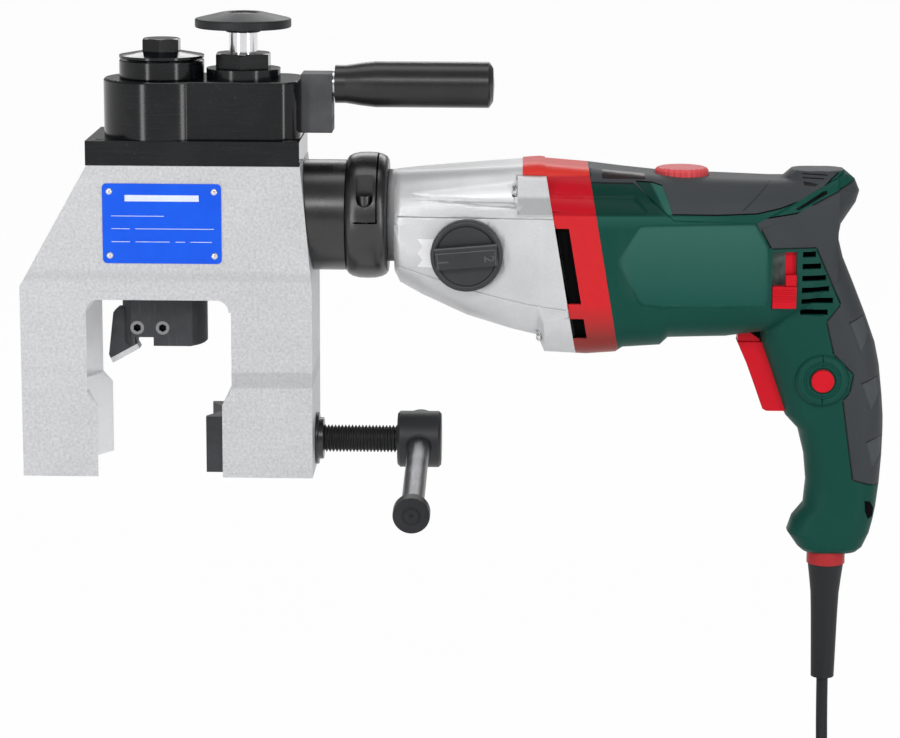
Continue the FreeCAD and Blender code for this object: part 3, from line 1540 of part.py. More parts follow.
reach_share = 0.45


def sweep(edges, radius):
    """A round section carried along joined edges."""
    path = Part.Wire(edges)
    start = edges[0].Vertexes[0].Point
    heading = edges[0].tangentAt(edges[0].FirstParameter)
    ring = Part.Wire([Part.makeCircle(radius, start, heading)])
    shell = Part.BRepOffsetAPI.MakePipeShell(path)
    shell.add(ring)
    shell.build()
    shell.makeSolid()
    return shell.shape()


def coil_point(turns):
    """The cord's centre after a number of turns, spiralling in, down and out again."""
    layer = min(int(turns / coil_turns), coil_layers - 1)
    within = turns - layer * coil_turns
    inward = within if layer % 2 == 0 else coil_turns - within
    radius = coil_outer - coil_pitch * inward
    drop = 0.0
    for k in range(1, coil_layers):
        share = (turns - k * coil_turns) / climb_turns + half_share
        share = max(0.0, min(1.0, share))
        drop += coil_layer_rise * share * share * (3 - 2 * share)
    angle = -2 * math.pi * turns
    last = cord_route[-1]
    return V(last[0] - coil_outer + radius * math.cos(angle), coil_centre_y + radius * math.sin(angle),
             last[2] - drop)


# The climb between layers, in turns and as a share of itself before the reversal
climb_turns = 0.5
half_share = 0.5


def biarc(p0, t0, p1, t1):
    """Two arcs that join smoothly and keep the tangents at both ends."""
    chord = p1 - p0
    total = t0 + t1
    a = 2 * (1 - t0.dot(t1))
    b = chord.dot(total)
    c = chord.dot(chord)
    d = (math.sqrt(b * b + a * c) - b) / a if abs(a) > 1e-9 else c / (4 * chord.dot(t1))
    q0, q1 = p0 + t0 * d, p1 - t1 * d
    joint = (q0 + q1) * 0.5
    return [arc_from(p0, t0, joint), arc_from(joint, (q1 - q0).normalize(), p1)]


def arc_from(start, tangent, end):
    """The arc that leaves a point along a tangent and ends at another point."""
    chord = end - start
    across = chord - tangent * chord.dot(tangent)
    if across.Length < 1e-6 * chord.Length:
        return Part.LineSegment(start, end).toShape()
    across.normalize()
    radius = chord.dot(chord) / (2 * chord.dot(across))
    centre = start + across * radius
    bisector = ((start + end) * 0.5 - centre).normalize()
    return Part.Arc(start, centre + bisector * abs(radius), end).toShape()


def coil_edges():
    """The coil's path: a lead-in, a biarc for each quarter turn, and a straight tail."""
    total = coil_layers * coil_turns
    count = int(round(total * 4))
    step = 1e-4

    def heading(turns):
        low, high = max(turns - step, 0), min(turns + step, total)
        return (coil_point(high) - coil_point(low)).normalize()

    stations = [total * k / count for k in range(count + 1)]
    places = [coil_point(t) for t in stations]
    headings = [heading(t) for t in stations]
    headings[0] = V(0, -1, 0)
    headings[-1] = V(headings[-1].x, headings[-1].y, 0).normalize()
    edges = []
    tail = 2 * cord_radius
    for k in range(count):
        edges += biarc(places[k], headings[k], places[k + 1], headings[k + 1])
    edges.append(Part.LineSegment(places[-1], places[-1] + headings[-1] * tail).toShape())
    return edges, places[-1] + headings[-1] * tail, headings[-1]


def least_gap(edges, radius):
    """The coil's least distance between surfaces of parts that are not neighbours."""
    points, along, length = [], [], 0.0
    for edge in edges:
        count = max(2, int(edge.Length / probe_step))
        for k in range(count):
            points.append(edge.valueAt(edge.FirstParameter + (edge.LastParameter - edge.FirstParameter) * k / count))
            along.append(length + edge.Length * k / count)
        length += edge.Length
    least = 1e9
    for i in range(len(points)):
        for j in range(i + 1, len(points)):
            if along[j] - along[i] > neighbour_reach * radius:
                least = min(least, (points[i] - points[j]).Length)
    return least - 2 * radius, length


# How finely the coil is probed, and how many radii along it count as neighbours
probe_step = 3.0
neighbour_reach = 12


# The tail from the coil to the plug
tail_route = [
    (388.0, -70.8, -210.7), (388.0, -91.0, -210.7), (391.5, -112.0, -206.0), (398.5, -132.0, -200.7),
    (408.5, -150.3, -200.7),
]

# Plug and tie
plug_neck_length = 10.0
plug_neck_radius = 5.6
plug_body_length = 36.0
plug_face_half_width = 18.5
plug_face_half_height = 13.4
plug_pin_radius = 2.4
plug_pin_length = 19.0
plug_pin_spacing = 19.0
tie_width = 12.0
tie_thickness = 0.8
tie_slack = 0.9
tie_corner = 4.0


def oval_wire(place, half_width, half_height, radius):
    """An upright rounded rectangle across the X axis at a place."""
    return rounded_wire([V(place, y, z) for y, z in ((-half_width, -half_height), (half_width, -half_height),
                                                    (half_width, half_height), (-half_width, half_height))], radius)


def plug():
    end, before = V(*tail_route[-1]), V(*tail_route[-2])
    body = []
    for share, wide, high in plug_profile_shares:
        half_width = plug_neck_radius + wide * (plug_face_half_width - plug_neck_radius)
        half_height = plug_neck_radius + high * (plug_face_half_height - plug_neck_radius)
        body.append(oval_wire(plug_neck_length + share * plug_body_length, half_width, half_height,
                              half_height - gap))
    shell = Part.makeLoft(body, True, True)
    neck = Part.makeCylinder(plug_neck_radius - gap, plug_neck_length + gap, V(0, 0, 0), V(1, 0, 0))
    face = plug_neck_length + plug_body_length
    pins = [rod_x(plug_pin_radius, face - overrun, face + plug_pin_length, 0, side * plug_pin_spacing / 2)
            for side in (-1, 1)]
    solid = joined([shell, neck] + pins)
    heading = math.degrees(math.atan2(end.y - before.y, end.x - before.x))
    solid.rotate(V(0, 0, 0), V(0, 0, 1), heading)
    solid.translate(end)
    return solid


# The plug's body: place along it, width and height, as shares
plug_profile_shares = [(0.0, 0.0, 0.0), (0.25, 0.3, 0.35), (0.6, 0.72, 0.7), (0.72, 1.0, 1.0), (1.0, 1.0, 1.0)]


def cord_tie():
    """A strap round the coil's turns on the side away from the cord."""
    centre_x = cord_route[-1][0] - coil_outer
    inner = coil_outer - coil_pitch * coil_turns - cord_radius - tie_slack
    outer = coil_outer + cord_radius + tie_slack
    top = cord_route[-1][2] + cord_radius + gap
    bottom = cord_route[-1][2] - (coil_layers - 1) * coil_layer_rise - cord_radius - gap
    y0, y1 = coil_centre_y - tie_width / 2, coil_centre_y + tie_width / 2
    hole = block(centre_x - outer, centre_x - inner, y0 - overrun, y1 + overrun, bottom, top)
    band = block(centre_x - outer - tie_thickness, centre_x - inner + tie_thickness, y0, y1,
                 bottom - tie_thickness, top + tie_thickness)
    hole = rounded(hole, tie_corner, lambda e: runs_along(e, V(0, 1, 0)))
    band = rounded(band, tie_corner + tie_thickness, lambda e: runs_along(e, V(0, 1, 0)))
    return band.cut(hole)


# All pieces, in the order in which they go together
save("frame_block", frame_block())
save("name_plate", name_plate())
save("plate_rivets", plate_rivets())
save("quill_guide", quill_guide())
save("crown_gear", crown_gear())
save("bearings", bearings())
save("pinion_shaft", pinion_shaft())
save("quill", quill())
save("quill_bearings", quill_bearings())
save("spindle", spindle())
save("tool_holder", tool_holder())
save("chamfer_bit", chamfer_bit())
save("carbide_insert", carbide_insert())
save("tool_set_screws", tool_set_screws())
save("top_plate", top_plate())
save("socket_screws", socket_screws())
save("feed_nut", feed_nut())
save("feed_pinion", feed_pinion())
save("feed_housing", feed_housing())
save("nut_collar", nut_collar())
save("feed_cap", feed_cap())
save("knob_spring", knob_spring())
save("gland_nut", gland_nut())
save("plunger_rod", plunger_rod())
save("feed_knob", feed_knob())
save("handle_bracket", handle_bracket())
save("handle_spindle", handle_spindle())
save("revolving_grip", revolving_grip())
save("clamp_nut", clamp_nut())
save("clamp_jaw", clamp_jaw())
save("jaw_pins", jaw_pins())
save("clamp_screw", clamp_screw())
save("tommy_bar", tommy_bar())
save("adapter_sleeve", adapter_sleeve())
save("clamp_ring", clamp_ring())
save("clamp_ring_screw", clamp_ring_screw())
front_shell, ring_shell, rear_shell, covers, bridge = drill_shells()
half_space = 2 * frame_half_depth
screws = gearbox_screws()
boss = lock_boss()
bridge = bridge.cut(screws)
front_shell = max(front_shell.cut(screws).Solids, key=lambda solid: solid.Volume)
ring_shell = ring_shell.cut(screws)
rear_shell = housing_openings(joined([rear_shell, boss]))
covers = [housing_openings(cover.cut(boss)) for cover in covers]
left_side = block(0, 2 * body_sections[-1][0], -half_space, 0, -half_space * 2, frame_top + half_space)
save("gear_housing", front_shell)
save("gearbox_screws", screws)
save("output_shaft", output_shaft())
save("layshaft", layshaft())
save("bearing_bridge", bridge)
save("ring_cover", ring_shell)
save("armature", armature())
save("stator", stator())
save("carbon_brushes", carbon_brushes())
save("left_housing", rear_shell.common(left_side))
save("right_housing", rear_shell.cut(left_side))
save("soft_cover", Part.makeCompound(covers))
save("gear_selector", gear_selector())
save("speed_dial", speed_dial())
save("direction_slider", direction_slider())
save("switch_module", switch_module())
save("trigger", trigger())
save("lock_button", lock_button())
save("relief_collar", relief_collar())
save("cord_relief", cord_relief())
hanging, hanging_radii = cord_tube(cord_route, cord_radius)
tail, tail_radii = cord_tube(tail_route, cord_radius)
save("cord", Part.makeCompound([hanging, tail]))
turns_path, tail_start, tail_heading = coil_edges()
save("cord_coil", sweep(turns_path, cord_radius))
save("cord_tie", cord_tie())
save("plug", plug())

for name, shape in pieces.items():
    shape.exportStep("parts/" + name + ".step")
coil_gap, coil_length = least_gap(turns_path, cord_radius)
print("cord radii", hanging_radii, tail_radii)
print("coil's least gap to itself", round(coil_gap, 2), "and length", round(coil_length))
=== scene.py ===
import math

import bmesh
import bpy
from mathutils import Matrix, Vector


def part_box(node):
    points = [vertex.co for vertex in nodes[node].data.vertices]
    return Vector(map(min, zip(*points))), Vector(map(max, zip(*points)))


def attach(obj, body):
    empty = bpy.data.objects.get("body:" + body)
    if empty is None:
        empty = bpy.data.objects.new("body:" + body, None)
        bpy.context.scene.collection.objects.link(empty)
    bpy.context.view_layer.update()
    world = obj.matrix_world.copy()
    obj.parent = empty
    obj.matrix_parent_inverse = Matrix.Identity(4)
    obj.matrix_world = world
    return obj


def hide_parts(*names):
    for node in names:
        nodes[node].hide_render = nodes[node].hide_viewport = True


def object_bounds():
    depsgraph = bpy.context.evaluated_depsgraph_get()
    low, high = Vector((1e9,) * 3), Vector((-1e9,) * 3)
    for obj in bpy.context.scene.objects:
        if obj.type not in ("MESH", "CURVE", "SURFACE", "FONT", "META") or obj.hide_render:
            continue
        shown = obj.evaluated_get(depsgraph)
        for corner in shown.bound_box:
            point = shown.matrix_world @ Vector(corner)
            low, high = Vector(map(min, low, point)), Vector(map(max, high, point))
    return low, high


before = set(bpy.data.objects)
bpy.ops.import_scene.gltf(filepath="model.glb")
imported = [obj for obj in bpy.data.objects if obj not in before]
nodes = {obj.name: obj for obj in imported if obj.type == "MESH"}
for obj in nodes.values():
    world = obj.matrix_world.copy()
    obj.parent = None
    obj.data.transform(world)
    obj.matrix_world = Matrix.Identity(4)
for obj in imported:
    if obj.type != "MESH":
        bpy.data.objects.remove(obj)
cad_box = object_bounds()
mm = 0.001


# Camera
# The photograph looks along +Y, a little from the right and from above, with a long lens.
camera_place = Vector((209.25, -1758.36, 409.85)) * mm
camera_forward = Vector((-0.02396, 0.98032, -0.19595)).normalized()
camera_roll = math.radians(-0.24)
camera_lens = 122.8


def placed(name, data):
    """A new object in the scene."""
    made = bpy.data.objects.new(name, data)
    bpy.context.scene.collection.objects.link(made)
    return made


camera = placed("camera", bpy.data.cameras.new("camera"))
across = camera_forward.cross(Vector((0, 0, 1))).normalized()
upward = across.cross(camera_forward)
right = across * math.cos(camera_roll) - upward * math.sin(camera_roll)
upward = upward * math.cos(camera_roll) + across * math.sin(camera_roll)
turned = Matrix((right, upward, -camera_forward)).transposed().to_4x4()
camera.matrix_world = Matrix.Translation(camera_place) @ turned
camera.data.lens = camera_lens
camera.data.sensor_width = 36
camera.data.clip_end = 50
bpy.context.scene.camera = camera
bpy.context.scene.view_settings.view_transform = "Standard"


# Frame block
# The C-shaped body that holds the tube and the spindle: one milled aluminium block, blasted and
# anodised in a light satin grey, its edges broken by a small chamfer that is painted brighter as painted
# highlight.
class Sum:
    """A shader socket on which maths is written as plain arithmetic."""

    def __init__(self, paint, socket):
        self.paint, self.socket = paint, socket

    def maths(self, operation, *values):
        return self.paint.node("ShaderNodeMath", {"operation": operation}, dict(enumerate(values)))

    def __add__(self, other):
        return self.maths("ADD", self, other)

    __radd__ = __add__

    def __sub__(self, other):
        return self.maths("SUBTRACT", self, other)

    def __rsub__(self, other):
        return self.maths("SUBTRACT", other, self)

    def __mul__(self, other):
        return self.maths("MULTIPLY", self, other)

    __rmul__ = __mul__

    def __truediv__(self, other):
        return self.maths("DIVIDE", self, other)

    def above(self, low, high):
        """0 below low, 1 above high, and a straight slope between them."""
        return self.paint.node("ShaderNodeMapRange", {"clamp": True},
                               {"Value": self, "From Min": low, "From Max": high}, "Result")

    def size(self):
        return self.maths("ABSOLUTE", self)


class Paint:
    """A material in the making, with its colour, its roughness and the name of a slot."""

    def __init__(self, name, colour, roughness, slot=None, **sockets):
        self.slot = slot
        self.material = bpy.data.materials.new(name)
        self.material.use_nodes = True
        self.tree = self.material.node_tree
        self.shader = self.tree.nodes["Principled BSDF"]
        self.set("Base Color", colour)
        self.set("Roughness", roughness)
        for socket, value in sockets.items():
            self.set(socket.replace("_", " "), value)

    def node(self, kind, settings, sockets, output=0):
        made = self.tree.nodes.new(kind)
        for name, value in settings.items():
            setattr(made, name, value)
        for name, value in sockets.items():
            self.join(value, made.inputs[name])
        return Sum(self, made.outputs[output])

    def join(self, value, socket):
        if isinstance(value, Sum):
            self.tree.links.new(value.socket, socket)
        elif hasattr(value, "__len__") and socket.type == "RGBA":
            socket.default_value = (*value, 1)
        else:
            socket.default_value = value

    def set(self, socket, value):
        self.join(value, self.shader.inputs[socket])

    def place(self, stretch=(1, 1, 1)):
        """Object coordinates, stretched."""
        raw = self.node("ShaderNodeTexCoord", {}, {}, "Object")
        return self.node("ShaderNodeMapping", {}, {"Vector": raw, "Scale": stretch})

    def noise(self, scale, detail=3.0, stretch=(1, 1, 1)):
        return self.node("ShaderNodeTexNoise", {},
                         {"Vector": self.place(stretch), "Scale": scale, "Detail": detail, "Roughness": 0.55})

    def axis(self, letter):
        return self.node("ShaderNodeSeparateXYZ", {}, {"Vector": self.place()}, letter)

    def blend(self, low, high, factor):
        return self.node("ShaderNodeMix", {"data_type": "RGBA"}, {0: factor, 6: low, 7: high}, 2)

    def colour(self, low, high, factor):
        self.set("Base Color", self.blend(low, high, factor))
        return self

    def bump(self, height, depth, strength=1.0):
        self.set("Normal", self.node("ShaderNodeBump", {},
                                     {"Height": height, "Distance": depth, "Strength": strength}))
        return self


def aluminium_paint():
    paint = Paint("satin_aluminium", (0.6, 0.6, 0.61), 0.42, "frame_metal", Metallic=0.35)
    cloud = paint.noise(26.0, 5.0, (1, 1, 1.4))
    mottle = paint.noise(150.0, 3.0)
    grain = paint.noise(1400.0, 2.0)
    height = paint.axis("Z")
    depth, along = paint.axis("Y"), paint.axis("X")
    # Two darker bands, one low on the right leg and one higher up; the window's inner faces and a strip
    # behind the front edges are painted brighter as painted highlight
    band = (0.0052 - (height - 0.0575).size()).above(0.0, 0.0012) * (along - 0.0405).above(0.0, 0.001)
    upper = (0.004 - (height - 0.1175).size()).above(0.0, 0.003)
    behind = (depth + 0.0336).above(0.0, 0.0002)
    window_painted_light = behind * (0.1039 - height).above(0.0, 0.0002) * (0.06 - along.size()).above(0.0, 0.0002)
    rim = behind * (-0.0326 - depth).above(0.0, 0.0002)
    painted_highlight_mask = (window_painted_light + rim).above(0.0, 1.0)
    streak = paint.noise(9.0, 2.0, (3, 1, 30))
    speck = paint.noise(620.0, 2.0)
    mottle_and_painted_highlight = cloud * 0.2 + mottle * 0.14 + streak * 0.14 + speck.above(0.3, 0.7) * 0.44
    darkened = band * (0.2 + mottle * 0.3) + upper * 0.18
    low = paint.blend((0.43, 0.432, 0.445), (0.84, 0.845, 0.86), painted_highlight_mask)
    high = paint.blend((0.77, 0.775, 0.79), (0.95, 0.955, 0.97), painted_highlight_mask)
    paint.colour(paint.blend(low, high, mottle_and_painted_highlight), (0.3, 0.302, 0.31), darkened)
    paint.set("Roughness", 0.36 + cloud * 0.16)
    return paint.bump(grain, 0.00004, 0.6)


def welded(node):
    """A CAD node's mesh as a closed mesh, to be worked on further."""
    work = bmesh.new()
    work.from_mesh(nodes[node].data)
    bmesh.ops.remove_doubles(work, verts=work.verts, dist=0.002 * mm)
    return work


broken_above, smooth_below = 40, 32


def outward(work):
    """The form with every face turned outwards."""
    bmesh.ops.recalc_face_normals(work, faces=work.faces)
    return work


def chamfered(work, width):
    """Break the edges where flat or curved faces meet at a sharp angle."""
    bmesh.ops.dissolve_limit(work, angle_limit=math.radians(0.6), verts=work.verts, edges=work.edges)
    sharp = [e for e in work.edges
             if len(e.link_faces) == 2 and e.calc_face_angle(0) > math.radians(broken_above)]
    bmesh.ops.bevel(work, geom=sharp, offset=width, offset_type="OFFSET", segments=1, affect="EDGES",
                    clamp_overlap=True)
    return work


def smoothed(mesh, angle=smooth_below):
    """The mesh shaded smooth, but for edges sharper than an angle."""
    mesh.polygons.foreach_set("use_smooth", [True] * len(mesh.polygons))
    mesh.set_sharp_from_angle(angle=math.radians(angle))
    return mesh


def final_mesh(holder):
    """The mesh that an object's modifiers make; the object itself goes."""
    bpy.context.view_layer.update()
    shape = holder.evaluated_get(bpy.context.evaluated_depsgraph_get())
    mesh = bpy.data.meshes.new_from_object(shape)
    bpy.data.objects.remove(holder)
    return mesh


def mesh_of(work, name, smooth=smooth_below):
    """The worked mesh, shaded smooth up to an angle, with its large flat faces kept flat."""
    mesh = bpy.data.meshes.new(name)
    work.to_mesh(mesh)
    work.free()
    holder = placed(name, smoothed(mesh, smooth))
    holder.modifiers.new("weight", "WEIGHTED_NORMAL").keep_sharp = True
    return final_mesh(holder)


def piece(name, form, paint, body="machine", replaces=(), smooth=smooth_below):
    """A mesh, or a form that is made one here, as a piece that rides on a body."""
    mesh = mesh_of(form, name, smooth) if isinstance(form, bmesh.types.BMesh) else form
    made = placed(name, mesh)
    mesh.materials.clear()
    mesh.materials.append(paint.material)
    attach(made, body)
    if replaces:
        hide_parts(*replaces)


def edged(node, width, paint, body="machine", smooth=smooth_below):
    """A CAD node with broken edges."""
    piece(node + "_edged", chamfered(welded(node), width * mm), paint, body, [node], smooth)


def dress(paint, *names):
    """A better material on CAD nodes whose shape stays."""
    for name in names:
        for place in nodes[name].material_slots:
            place.material = paint.material


aluminium = aluminium_paint()
frame_chamfer = 0.8
edged("frame_block", frame_chamfer, aluminium)


# Name plate
# A thin enamelled plate with rounded corners, blue and bare but for the white rules of an empty
# form, held by four domed rivets.
plate_colour = (0.0, 0.11, 0.78)
rule_colour = (0.75, 0.82, 0.95)
rule_height = 0.32
# Rules of the empty form: left, right and height, in the frame's millimetres
plate_rules = [(-12.3, 32.4, 144.9), (-12.3, 7.2, 137.4), (19.0, 31.3, 137.4), (-26.0, -15.5, 144.9),
               (-26.0, -15.5, 137.4), (10.5, 16.0, 137.4), (-26.0, 4.0, 152.2)]
plate_bar = (-18.2, 24.0, 160.8, 164.4)


def plate_paint():
    paint = Paint("blue_enamel", plate_colour, 0.32, "plate_blue", Specular_IOR_Level=0.3)
    cloud = paint.noise(60.0, 2.0)
    paint.colour((0.0, 0.08, 0.74), (0.002, 0.115, 0.86), cloud)
    return paint.bump(paint.noise(900.0, 1.0), 0.00001, 0.4)


def slab(work, x0, x1, y0, y1, z0, z1):
    made = bmesh.ops.create_cube(work, size=1)
    for v in made["verts"]:
        v.co = Vector((x0 if v.co.x < 0 else x1, y0 if v.co.y < 0 else y1, z0 if v.co.z < 0 else z1)) * mm
    return made["verts"]


blue = plate_paint()
edged("name_plate", 0.25, blue)
rules = bmesh.new()
plate_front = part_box("name_plate")[0][1] / mm
for left, end, high in plate_rules:
    slab(rules, left, end, plate_front - 0.04, plate_front + 0.1, high, high + rule_height)
slab(rules, plate_bar[0], plate_bar[1], plate_front - 0.04, plate_front + 0.1, plate_bar[2], plate_bar[3])
bmesh.ops.bevel(rules, geom=rules.edges[:], offset=0.03 * mm, segments=1, affect="EDGES")
white_ink = Paint("white_print", rule_colour, 0.5, "plate_blue")
white_ink.colour((0.66, 0.74, 0.9), (0.8, 0.86, 0.96), white_ink.noise(500.0))
piece("plate_rules", rules, white_ink)

# Rivets
# Four bright domed rivets, each with a faint turned ring.
rivet_radius = 2.0
rivet_rise = 0.9


class Tree:
    """A geometry tree in the making, with named inputs."""

    def __init__(self, name):
        self.tree = bpy.data.node_groups.new(name, "GeometryNodeTree")
        self.tree.interface.new_socket("Geometry", in_out="INPUT", socket_type="NodeSocketGeometry")
        self.tree.interface.new_socket("Geometry", in_out="OUTPUT", socket_type="NodeSocketGeometry")
        self.start = self.tree.nodes.new("NodeGroupInput")
        self.end = self.tree.nodes.new("NodeGroupOutput")
        self.values = {}

    def input(self, name, value):
        socket = self.tree.interface.new_socket(name, in_out="INPUT", socket_type="NodeSocketFloat")
        self.values[socket.identifier] = value
        return self.start.outputs[name]

    def node(self, kind, settings, sockets, output=0):
        made = self.tree.nodes.new(kind)
        for name, value in settings.items():
            setattr(made, name, value)
        for name, value in sockets.items():
            if isinstance(value, bpy.types.NodeSocket):
                self.tree.links.new(value, made.inputs[name])
            else:
                made.inputs[name].default_value = value
        return made.outputs[output]

    def finish(self, geometry, paint):
        solid = self.node("GeometryNodeRealizeInstances", {}, {"Geometry": geometry})
        painted = self.node("GeometryNodeSetMaterial", {}, {"Geometry": solid, "Material": paint.material})
        self.tree.links.new(painted, self.end.inputs[0])

    def grow(self, mesh, name):
        """The tree run on a mesh, as a plain mesh."""
        base = placed(name, mesh)
        modifier = base.modifiers.new(name, "NODES")
        modifier.node_group = self.tree
        for identifier, value in self.values.items():
            modifier[identifier] = value
        return smoothed(final_mesh(base))


def lathe(work, profile, place, axis, segments=32):
    """A turned form from (radius, distance along the axis) points in millimetres, closed at its poles."""
    axis = Vector(axis).normalized()
    side = axis.orthogonal().normalized()
    other = axis.cross(side)
    rings = []
    for radius, along in profile:
        if radius < 1e-6:
            rings.append([work.verts.new((Vector(place) + axis * along) * mm)])
            continue
        ring = []
        for k in range(segments):
            angle = 2 * math.pi * k / segments
            out = side * math.cos(angle) + other * math.sin(angle)
            ring.append(work.verts.new((Vector(place) + axis * along + out * radius) * mm))
        rings.append(ring)
    for low, high in zip(rings, rings[1:]):
        for k in range(segments):
            corners = [low[k % len(low)], low[(k + 1) % len(low)], high[(k + 1) % len(high)],
                       high[k % len(high)]]
            corners = [c for i, c in enumerate(corners) if c not in corners[:i]]
            if len(corners) > 2:
                work.faces.new(corners)
    return work


def repeated(name, form, places, paint):
    """Copies of a small form at places, made by a geometry tree; one mesh."""
    points = bpy.data.meshes.new(name + "_places")
    points.from_pydata([Vector(p) * mm for p in places], [], [])
    shape = bpy.data.objects.new(name + "_form", form)
    tree = Tree(name)
    scale = tree.input("Scale", 1.0)
    source = tree.node("GeometryNodeObjectInfo", {}, {"Object": shape}, "Geometry")
    sized = tree.node("ShaderNodeCombineXYZ", {}, {"X": scale, "Y": scale, "Z": scale})
    copies = tree.node("GeometryNodeInstanceOnPoints", {},
                       {"Points": tree.start.outputs[0], "Instance": source, "Scale": sized})
    tree.finish(copies, paint)
    grown = tree.grow(points, name)
    bpy.data.objects.remove(shape)
    return grown


def steel_paint(name, colour, roughness, scale=900.0, stretch=(1, 1, 1), spread=0.12):
    """Turned or ground steel with fine tool lines."""
    paint = Paint(name, colour, roughness, "bright_steel", Metallic=0.95)
    lines = paint.noise(scale, 2.0, stretch)
    darker = tuple(c * (1 - spread) for c in colour)
    brighter = tuple(min(1, c * (1 + spread)) for c in colour)
    paint.colour(darker, brighter, lines)
    paint.set("Roughness", roughness + lines * 0.12)
    return paint.bump(lines, 0.000008, 0.4)


bright = steel_paint("bright_steel", (0.72, 0.72, 0.73), 0.2)
rivet_places = []
(plate_x0, _, plate_z0), (plate_x1, _, plate_z1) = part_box("name_plate")
for x in (plate_x0 / mm + 4.0, plate_x1 / mm - 4.0):
    for z in (plate_z0 / mm + 4.5, plate_z1 / mm - 4.5):
        rivet_places.append((x, plate_front, z))
dome = lathe(bmesh.new(), [(0, -rivet_rise), (0.5, -rivet_rise), (0.7, -0.82), (0.9, -0.84), (1.4, -0.62),
                           (1.85, -0.25), (rivet_radius, 0.0), (rivet_radius, 0.3), (0, 0.3)], (0, 0, 0),
             (0, 1, 0))
rivets = repeated("rivets", mesh_of(outward(dome), "rivet"), rivet_places, bright)
piece("rivet_heads", rivets, bright, "machine", ["plate_rivets"])


# Tool head
# The round steel holder under the spindle is blackened, has a flat with two set screws, and clamps
# the blackened shank of the bit, whose carbide edge is ground bright.
def black_oxide(name, colour, roughness, wear, specular=0.3):
    """Blackened steel: nearly black, half gloss, greyer where it is rubbed."""
    paint = Paint(name, colour, roughness, "black_metal", Specular_IOR_Level=specular)
    cloud = paint.noise(45.0, 4.0)
    scratches = paint.noise(900.0, 2.0, (1, 1, 0.06)).above(0.62, 0.72)
    paint.colour(colour, tuple(c * 2.1 for c in colour), cloud.above(0.4, 0.75) * 0.7 + scratches * wear)
    paint.set("Roughness", roughness + cloud * 0.18)
    return paint.bump(paint.noise(1600.0, 2.0), 0.00001, 0.6)


blackened = black_oxide("blackened_steel", (0.03, 0.031, 0.034), 0.42, 0.5)
edged("tool_holder", 0.5, blackened, "spindle")
edged("chamfer_bit", 0.4, blackened, "spindle")
ground = steel_paint("ground_carbide", (0.62, 0.63, 0.64), 0.28, 700.0, (1, 8, 1), 0.2)
edged("carbide_insert", 0.12, ground, "spindle")
set_screw_paint = Paint("set_screw_steel", (0.6, 0.6, 0.61), 0.28, "black_metal", Metallic=0.9)
screw_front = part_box("tool_set_screws")[0][1]
# Painted shade: inside the hex socket, deeper than 0.3 mm behind the screw's face, the screw is painted black
socket_painted_shade = (set_screw_paint.axis("Y") - (screw_front + 0.3 * mm)).above(0.0, 0.0003)
set_screw_paint.colour((0.27, 0.27, 0.28), (0.002, 0.002, 0.002), socket_painted_shade)
edged("tool_set_screws", 0.25, set_screw_paint, "spindle")
dress(blackened, "spindle")


# Top plate and feed housing
# The plate is a black anodised slab screwed to the frame; on it stands the milled feed housing,
# anodised black and glossy, with a small bright-edged chamfer round its top.
def anodised_black():
    paint = Paint("black_anodised", (0.012, 0.012, 0.013), 0.2, "black_metal", Specular_IOR_Level=0.28)
    specks = paint.noise(700.0, 3.0).above(0.66, 0.74)
    cloud = paint.noise(26.0, 3.0)
    cuts = paint.noise(40.0, 2.0, (1, 1, 26))
    mottle_and_painted_highlight = specks * 0.6 + cloud.above(0.5, 0.9) * 0.2 + cuts.above(0.5, 0.8) * 0.12
    paint.colour((0.004, 0.0045, 0.0055), (0.05, 0.052, 0.056), mottle_and_painted_highlight)
    paint.set("Roughness", 0.09 + cloud * 0.1)
    return paint.bump(cuts, 0.00001, 0.12)


anodised = anodised_black()
edged("top_plate", 0.5, anodised)
edged("feed_housing", 0.35, anodised)
edged("nut_collar", 0.5, anodised)
edged("feed_cap", 0.35, anodised, "feed_nut")
edged("gland_nut", 0.45, anodised)
# The knob is a thick disc with an upright rim and a low cone, dished in the middle
knob_black = black_oxide("knob_black", (0.016, 0.017, 0.019), 0.34, 0.4, specular=0.22)
knob_axis = sum((Vector(c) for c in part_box("plunger_rod")), Vector()) / 2 / mm
knob_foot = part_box("feed_knob")[0][2] / mm
feed_disc = lathe(bmesh.new(), [(0, 0), (9.6, 0), (10.0, 0.3), (12.3, 2.5), (26.4, 2.5), (27.3, 2.8),
                                (27.6, 3.5), (27.6, 7.0), (27.2, 7.6), (26.0, 8.0), (12.5, 11.2),
                                (11.2, 11.4), (9.4, 10.9), (8.6, 10.3), (0, 10.1)],
                  (knob_axis.x, knob_axis.y, knob_foot), (0, 0, 1), 96)
piece("feed_knob_turned", outward(feed_disc), knob_black, "feed_knob", ["feed_knob"], smooth=30)
bracket_grey = black_oxide("bracket_grey", (0.055, 0.056, 0.06), 0.45, 0.2)
edged("handle_bracket", 0.6, bracket_grey)
edged("socket_screws", 0.3, blackened)
chrome = steel_paint("polished_rod", (0.78, 0.78, 0.8), 0.09, 500.0, (1, 1, 12), 0.05)
dress(chrome, "plunger_rod")


# Revolving grip
# A black moulded grip, smooth and half gloss, that turns on a steel pin.
def moulded_black(name, colour, roughness, grain):
    paint = Paint(name, colour, roughness, "black_plastic", Specular_IOR_Level=0.45)
    cloud = paint.noise(30.0, 3.0)
    fine = paint.noise(grain, 2.0)
    paint.colour(colour, tuple(c * 1.9 + 0.004 for c in colour), cloud.above(0.35, 0.8) * 0.6)
    paint.set("Roughness", roughness + fine * 0.12)
    return paint.bump(fine, 0.00002, 0.35)


grip_black = moulded_black("moulded_black", (0.012, 0.012, 0.013), 0.24, 900.0)
dress(grip_black, "revolving_grip")
dress(bright, "handle_spindle")


